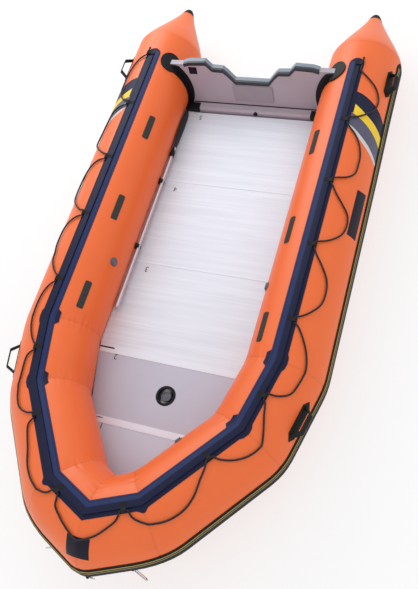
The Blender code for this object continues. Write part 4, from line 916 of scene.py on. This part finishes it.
# Cut films on both sides: for each angle from the tube's top, how far from the stern a film starts and ends
films = {
    "thickness": 0.0004,
    "columns": 10,
    "rowSteps": 5,
    "navy": (
        (9.0, 0.277, 0.449), (20.0, 0.291, 0.452), (33.0, 0.315, 0.470),
        (50.0, 0.352, 0.500), (71.0, 0.417, 0.555),
    ),
    "yellow": (
        (12.2, 0.380, 0.455), (20.0, 0.402, 0.470), (33.0, 0.436, 0.500),
        (50.0, 0.471, 0.541), (71.0, 0.516, 0.592),
    ),
    "slate": (
        (9.0, 0.449, 0.540), (20.0, 0.470, 0.569), (33.0, 0.500, 0.606),
        (50.0, 0.541, 0.650), (71.0, 0.592, 0.706),
    ),
    "pale": (
        (9.0, 0.540, 0.553), (20.0, 0.569, 0.594), (33.0, 0.606, 0.638),
        (50.0, 0.650, 0.682), (71.0, 0.706, 0.728),
    ),
    "label": (
        (47.5, 0.972, 1.293), (52.5, 0.969, 1.292), (57.5, 0.966, 1.291),
        (62.5, 0.963, 1.290), (67.5, 0.960, 1.290),
    ),
    "bowLabelHalf": 0.068,
    "bowLabelMiddle": (27.5, 53.0),
    "bowLabelEdge": (33.0, 60.0),
    "bowLabelBulge": 3.2,
    "bowLabelRows": 12,
}


def filmOnSide(name, table, lift, finish, side):
    knots = smoothThrough([Vector(row) for row in table], films["rowSteps"])
    columns = films["columns"]
    tops, unders = [], []
    for angle, start, end in knots:
        places = [start + (end - start) * number / columns for number in range(columns + 1)]
        tops.append([roundPoint(place, angle, lift + films["thickness"], side) for place in places])
        unders.append([roundPoint(place, angle, lift, side) for place in places])
    solidFromRows(name, tops, unders, finish)


def makeFilms():
    thick = films["thickness"]
    for sideName, side in (("Port", 1), ("Starboard", -1)):
        filmOnSide("navyFilm" + sideName, films["navy"], 0.0, "navyFilm", side)
        filmOnSide("yellowFilm" + sideName, films["yellow"], thick, "yellowFilm", side)
        filmOnSide("slateFilm" + sideName, films["slate"], 0.0, "slateFilm", side)
        filmOnSide("paleFilm" + sideName, films["pale"], 0.0, "paleFilm", side)
        filmOnSide("plainLabel" + sideName, films["label"], 0.0, "labelFilm", side)


def makeBowLabel():
    # The label is cut square, so on the mitred tube its rows dip towards their ends, and its lower edge
    # bulges a little where the tube is rounded
    span, columns = bends[-1] - bends[-2], films["columns"]
    tops, unders = [], []
    (middleTop, middleLow), (edgeTop, edgeLow) = films["bowLabelMiddle"], films["bowLabelEdge"]
    for row in range(films["bowLabelRows"] + 1):
        down = row / films["bowLabelRows"]
        middle, edge = middleTop + (middleLow - middleTop) * down, edgeTop + (edgeLow - edgeTop) * down
        for lift, rows in ((films["thickness"], tops), (0.0, unders)):
            port = []
            for number in range(columns + 1):
                out = 1 - number / columns
                angle = middle + (edge - middle) * out + films["bowLabelBulge"] * down * (1 - out) ** 2
                corner = tubePoint(bends[-2], math.radians(angle), tube["radius"])
                reach = span * films["bowLabelHalf"] * out / corner.x
                port.append(roundPoint(bends[-1] - reach, angle, lift))
            rows.append(port + [onSide(point, -1) for point in port[-2::-1]])
    solidFromRows("plainLabelBow", tops, unders, "labelFilm")


makeFilms()
makeBowLabel()
print("films and labels made")


# Bottom fabric and keel tube, under the floor
sheet = {
    "thickness": 0.0012,
    "back": 0.10,
    "laps": (-153.75, -157.5, -161.25, -165.0, -168.75),
    "frontShare": 0.93,
    "nose": 0.08,
    "nosePower": 6,
    "columns": 14,
    "flare": 2.5,
    "riseStation": 2.95,
    "risePower": 2.2,
    "rowStep": 0.12,
    "bowRows": 4,
    "mergeWithin": 0.00005,
    "shortestEdge": 0.00001,
}
keelLow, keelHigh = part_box("keel_tube")


def keelHeight(station):
    front = shift - skinPoint(bends[-1], sheet["laps"][0], 0).y
    level = keelLow.z - tube["gap"]
    if station <= sheet["riseStation"]:
        return level
    share = (station - sheet["riseStation"]) / (front - sheet["riseStation"])
    return level + (skinPoint(bends[-1], sheet["laps"][0], 0).z - level) * share ** sheet["risePower"]


def bottomRow(along):
    last = bends[-1] * sheet["frontShare"]
    edge = skinPoint(along, sheet["laps"][0], 0)
    front = shift - skinPoint(bends[-1], sheet["laps"][0], 0).y
    reach = front - sheet["nose"] - (shift - skinPoint(last, sheet["laps"][0], 0).y)
    station = shift - edge.y + reach * max(0.0, along / last) ** sheet["nosePower"]
    keel = Vector((0, shift - station, keelHeight(station)))
    row = []
    for column in range(sheet["columns"] + 1):
        share = column / sheet["columns"]
        point = keel.lerp(edge, share)
        point.z = keel.z + (edge.z - keel.z) * share ** sheet["flare"]
        row.append(point)
    return row + [skinPoint(along, angle, 0) for angle in sheet["laps"][1:]]


def makeBottom():
    columns, front = sheet["columns"], bends[-1] * sheet["frontShare"]
    rows = [bottomRow(along) for along in alongStops(sheet["back"], front, sheet["rowStep"])]
    last = rows[-1]
    shares = [1 - column / columns for column in range(columns)]
    bow = []
    for number, angle in enumerate(sheet["laps"]):
        line = [skinPoint(front + (bends[-1] - front) * share, angle, 0) for share in shares]
        line[0].x = 0.0
        bow.append(line + [last[columns + number]])
    fan = []
    for number in range(1, sheet["bowRows"]):
        share = number / sheet["bowRows"]
        fan.append([start.lerp(end, share) for start, end in zip(last[:columns + 1], bow[0])])
    fan += bow
    mesh = bmesh.new()
    for side in (1, -1):
        made = [[mesh.verts.new(onSide(point, side)) for point in row] for row in rows]
        bridgeRings(mesh, made, False)
        fanRows = [made[-1][:columns + 1]]
        fanRows += [[mesh.verts.new(onSide(point, side)) for point in row] for row in fan]
        bridgeRings(mesh, fanRows, False)
    bmesh.ops.remove_doubles(mesh, verts=mesh.verts, dist=sheet["mergeWithin"])
    bmesh.ops.dissolve_degenerate(mesh, edges=mesh.edges, dist=sheet["shortestEdge"])
    bmesh.ops.recalc_face_normals(mesh, faces=mesh.faces)
    if sum(face.normal.z * face.calc_area() for face in mesh.faces) < 0:
        bmesh.ops.reverse_faces(mesh, faces=mesh.faces)
    area = sum(face.calc_area() for face in mesh.faces)
    data = bpy.data.meshes.new("bottomSheet")
    mesh.to_mesh(data)
    mesh.free()
    data.materials.append(finishes["greyFabric"])
    data.shade_smooth()
    piece = bpy.data.objects.new("bottomSheet", data)
    scene.collection.objects.link(piece)
    thick = piece.modifiers.new("fabric", "SOLIDIFY")
    thick.thickness = sheet["thickness"]
    thick.offset = -1
    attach(piece, "hull")
    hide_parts("bottom_fabric")


makeBottom()

keelTube = {
    "shares": (
        (0.0, 0.55), (0.006, 0.74), (0.012, 0.87), (0.03, 1.0), (0.5, 1.0),
        (0.94, 1.0), (0.97, 0.86), (0.99, 0.66), (1.0, 0.45),
    ),
    "sides": 40,
}


def makeKeelTube():
    radius = (keelHigh.z - keelLow.z) / 2
    centre = (keelHigh.z + keelLow.z) / 2
    around = [2 * math.pi * step / keelTube["sides"] for step in range(keelTube["sides"])]
    rows = []
    for ahead, wide in keelTube["shares"]:
        y = keelHigh.y + (keelLow.y - keelHigh.y) * ahead
        reach = radius * wide
        rows.append([(reach * math.cos(turn), y, centre + reach * math.sin(turn)) for turn in around])
    piece = addPiece("keelTube", loftMesh(rows), "greyFabric")
    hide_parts("keel_tube")


makeKeelTube()


# Marks on the boards: plain numbers, and at the starboard ends of two joints a thin dark sheet, painted
# shade where the gap in the joint falls dark
floor = {
    "numberSize": 0.056,
    "numberHeight": 0.0002,
    "numberX": -0.410,
    "numberXs": {1: -0.342},
    "numberStations": {5: 0.287, 4: 0.937, 3: 1.602, 2: 2.258, 1: 2.718},
    "gapShades": ((2.2075, -0.544, -0.436, 0.010), (2.6705, -0.401, -0.351, 0.0055)),
    "gapShadeHeight": 0.0004,
}
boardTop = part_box("floorboard_4")[1].z
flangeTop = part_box("joiner_2_3")[1].z


def makeFloorMarks():
    for number, station in floor["numberStations"].items():
        text = bpy.data.curves.new(f"boardNumber{number}", "FONT")
        text.body = str(number)
        text.size = floor["numberSize"]
        text.extrude = floor["numberHeight"] / 2
        text.align_x = "CENTER"
        text.align_y = "CENTER"
        text.materials.append(finishes["numberInk"])
        piece = bpy.data.objects.new(f"boardNumber{number}", text)
        x = floor["numberXs"].get(number, floor["numberX"])
        piece.location = (x, shift - station, boardTop + floor["numberHeight"])
        piece.rotation_euler = (0, 0, math.pi)
        scene.collection.objects.link(piece)
        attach(piece, "hull")
    # Thin dark sheets on the joints' flanges: painted shade of the gaps between the boards
    low, high = flangeTop, flangeTop + floor["gapShadeHeight"]
    for number, (station, near, far, width) in enumerate(floor["gapShades"]):
        ends = (shift - station - width / 2, shift - station + width / 2)
        tops, unders = [[[Vector((x, y, z)) for y in ends] for x in (near, far)] for z in (high, low)]
        solidFromRows(f"jointGapShade{number + 1}", tops, unders, "darkSealAndGapShade")


makeFloorMarks()

# Transom: a dark seal under the cap's lip on both faces, one along the foot beam, and a plain label
transom = {
    "thickness": 0.038,
    "capDepth": 0.016,
    "capReach": 0.505,
    "reach": 0.510,
    "recess": (0.128, 0.090),
    "stepShares": (0.353, 0.408, 0.569, 0.657, 0.902, 1.0),
    "levels": (0.156, 0.183, 0.187, 0.238, 0.231, 0.216),
    "sealGap": 0.0004,
    "sealHeight": 0.0060,
    "sealDepth": 0.0030,
    "beamTop": 0.134,
    "beamHalf": 0.486,
    "beamSeal": 0.005,
    "beamSealFoot": 0.0054,
    "label": (-0.472, -0.408, 0.386, 0.446),
    "labelLifts": (0.0003, 0.0009),
    "footX": (0.430, 0.545),
    "footDepth": 0.0080,
    "footHeight": 0.0050,
    "footBack": 0.050,
}


def transomFace(x, z, away):
    # A point off the transom's forward face when away is positive, or off its aft face when negative
    half = transom["thickness"] / 2
    y = shift - transomPlane["station"] - (half + away if away > 0 else away - half)
    return Vector((x, y + transomPlane["lean"] * (z - tube["radius"]), z))


def makeTransomMarks():
    steps = zip(transom["stepShares"], transom["levels"])
    top = [transom["recess"]] + [(transom["reach"] * share, level) for share, level in steps]
    (beforeX, beforeZ), (afterX, afterZ) = top[-2:]
    reach = transom["capReach"] - transom["sealDepth"]
    top[-1] = (reach, beforeZ + (afterZ - beforeZ) * (reach - beforeX) / (afterX - beforeX))
    half = [(x, tube["radius"] + level - transom["capDepth"] - tube["gap"]) for x, level in top]
    line = [(-x, z) for x, z in half[::-1]] + half
    near, far, drop = transom["sealGap"], transom["sealDepth"], transom["sealHeight"]
    for name, face in (("capSealInner", 1), ("capSealOuter", -1)):
        rows = []
        for x, z in line:
            corners = ((z, near), (z, far), (z - drop, far), (z - drop, near))
            rows.append([transomFace(x, level, face * away) for level, away in corners])
        addPiece(name, loftMesh(rows), "darkSealAndGapShade")
    low = transom["beamTop"] + tube["gap"]
    high = low + transom["beamSeal"]
    corners = ((low, near), (low, transom["beamSealFoot"]), (high, far), (high, near))
    ends = (-transom["beamHalf"], transom["beamHalf"])
    rows = [[transomFace(x, level, away) for level, away in corners] for x in ends]
    addPiece("beamSeal", loftMesh(rows), "darkSealAndGapShade")
    left, right, bottom, head = transom["label"]
    unders, tops = [[[transomFace(x, z, lift) for x in (left, right)] for z in (bottom, head)]
                    for lift in transom["labelLifts"]]
    solidFromRows("plainLabelTransom", tops, unders, "labelFilm")


def makeHolderFeet():
    # The foot of each transom holder laps over the beam's end
    low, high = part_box("foot_beam")
    gap, foot = tube["gap"], boardTop + tube["gap"]
    front, top = low.y - gap, high.z + gap
    toe, back = front - transom["footDepth"], front + transom["footBack"]
    height, bevel = top + transom["footHeight"], transom["footHeight"] / 4
    outline = ((front, foot), (toe, foot), (toe, height), (back, height), (back, top), (front, top))
    for name, side in (("holderFootPort", 1), ("holderFootStarboard", -1)):
        mesh = loftMesh([[(side * x, y, z) for y, z in outline] for x in transom["footX"]])
        bmesh.ops.bevel(mesh, geom=mesh.edges[:], offset=bevel, segments=2, affect="EDGES")
        addPiece(name, mesh, "blackPlastic")


makeTransomMarks()
makeHolderFeet()
print("floor and transom marks made")


# Finishes of the solids that stay in view: (start of the name, finish, angle from which an edge is sharp)
nodeFinishes = (
    ("top_strip", "blueStrip", 28),
    ("handle_", "patchRubber", 30),
    ("cone_tip", "patchRubber", 40),
    ("bow_ring_patch", "patchRubber", 30),
    ("side_pad", "greyPad", 30),
    # Board 1's paler finish is painted light, against the shade and orange bounce round the bow
    ("floorboard_1", "frontBoardPaintedLight", 20),
    ("floorboard_2", "board", 20),
    ("floorboard_", "plank", 20),
    ("joiner_", "whiteProfile", 20),
    ("stringer_", "plank", 20),
    ("transom_board", "transomBoard", 20),
    ("transom_cap", "lightMoulding", 20),
    ("transom_holder", "blackPlastic", 30),
    ("motor_pad", "transomPad", 25),
    ("foot_beam", "transomBoard", 20),
    ("access_port_ring", "blackPlastic", 30),
    ("keel_valve", "greyPlastic", 30),
    ("drain_plug", "blackPlastic", 40),
    ("oar_shaft", "aluminium", 30),
    ("oar_blade", "blackPlastic", 35),
    ("oar_clip", "blackPlastic", 30),
    ("chamber_valve", "greyPlastic", 35),
    ("bow_ring_centre", "steel", 50),
    ("bow_link", "steel", 50),
)
weldWithin = 0.00001


def dressSolids():
    for name, node in nodes.items():
        for start, finish, angle in nodeFinishes:
            if name.startswith(start):
                node.data.materials.clear()
                node.data.materials.append(finishes[finish])
                if "custom_normal" in node.data.attributes:
                    node.data.attributes.remove(node.data.attributes["custom_normal"])
                node.data.shade_smooth()
                weld = node.modifiers.new("weld", "WELD")
                weld.merge_threshold = weldWithin
                edges = node.modifiers.new("edges", "EDGE_SPLIT")
                edges.split_angle = math.radians(angle)
                break


dressSolids()

# Plain floor and soft light
stage = {
    "floorHalf": 9.0,
    "floorDrop": 0.0006,
    "floorColour": "#F7F7F7",
    "floorGlow": 0.68,
    "skyStrength": 0.94,
    "keyPlace": (-3.0, 4.0, 3.2),
    "keySize": 4.2,
    "keyEnergy": 115.0,
}


def makeStage():
    half = stage["floorHalf"]
    mesh = bmesh.new()
    corners = ((-half, -half), (half, -half), (half, half), (-half, half))
    mesh.faces.new([mesh.verts.new((x, y, -stage["floorDrop"])) for x, y in corners])
    data = bpy.data.meshes.new("studioFloor")
    mesh.to_mesh(data)
    mesh.free()
    made, tree, shader = startMaterial("studioPaper", {"Roughness": 0.9, "Specular IOR Level": 0.1})
    shader.inputs["Base Color"].default_value = toLinear(stage["floorColour"])
    glow = addNode(tree, "ShaderNodeEmission", {"Color": (1, 1, 1, 1), "Strength": 1.0})
    path = addNode(tree, "ShaderNodeLightPath").outputs
    rays = {0: path["Is Camera Ray"], 1: path["Is Glossy Ray"]}
    seen = addNode(tree, "ShaderNodeMath", rays, operation="MAXIMUM").outputs["Value"]
    share = addNode(tree, "ShaderNodeMath", {0: seen, 1: stage["floorGlow"]}, operation="MULTIPLY")
    layers = {0: share.outputs["Value"], 1: shader.outputs["BSDF"], 2: glow.outputs["Emission"]}
    both = addNode(tree, "ShaderNodeMixShader", layers)
    tree.links.new(both.outputs["Shader"], tree.nodes["Material Output"].inputs["Surface"])
    data.materials.append(made)
    piece = bpy.data.objects.new("studioFloor", data)
    scene.collection.objects.link(piece)
    world = bpy.data.worlds.new("studioSky")
    world.use_nodes = True
    background = world.node_tree.nodes["Background"]
    background.inputs["Color"].default_value = (1, 1, 1, 1)
    background.inputs["Strength"].default_value = stage["skyStrength"]
    scene.world = world
    lamp = bpy.data.lights.new("keyPanel", "AREA")
    lamp.shape = "DISK"
    lamp.size = stage["keySize"]
    lamp.energy = stage["keyEnergy"]
    panel = bpy.data.objects.new("keyPanel", lamp)
    place = Vector(stage["keyPlace"])
    panel.location = place
    panel.rotation_euler = place.to_track_quat("Z", "Y").to_euler()
    scene.collection.objects.link(panel)
    scene.view_settings.view_transform = "Standard"


makeStage()

print("scene ready")
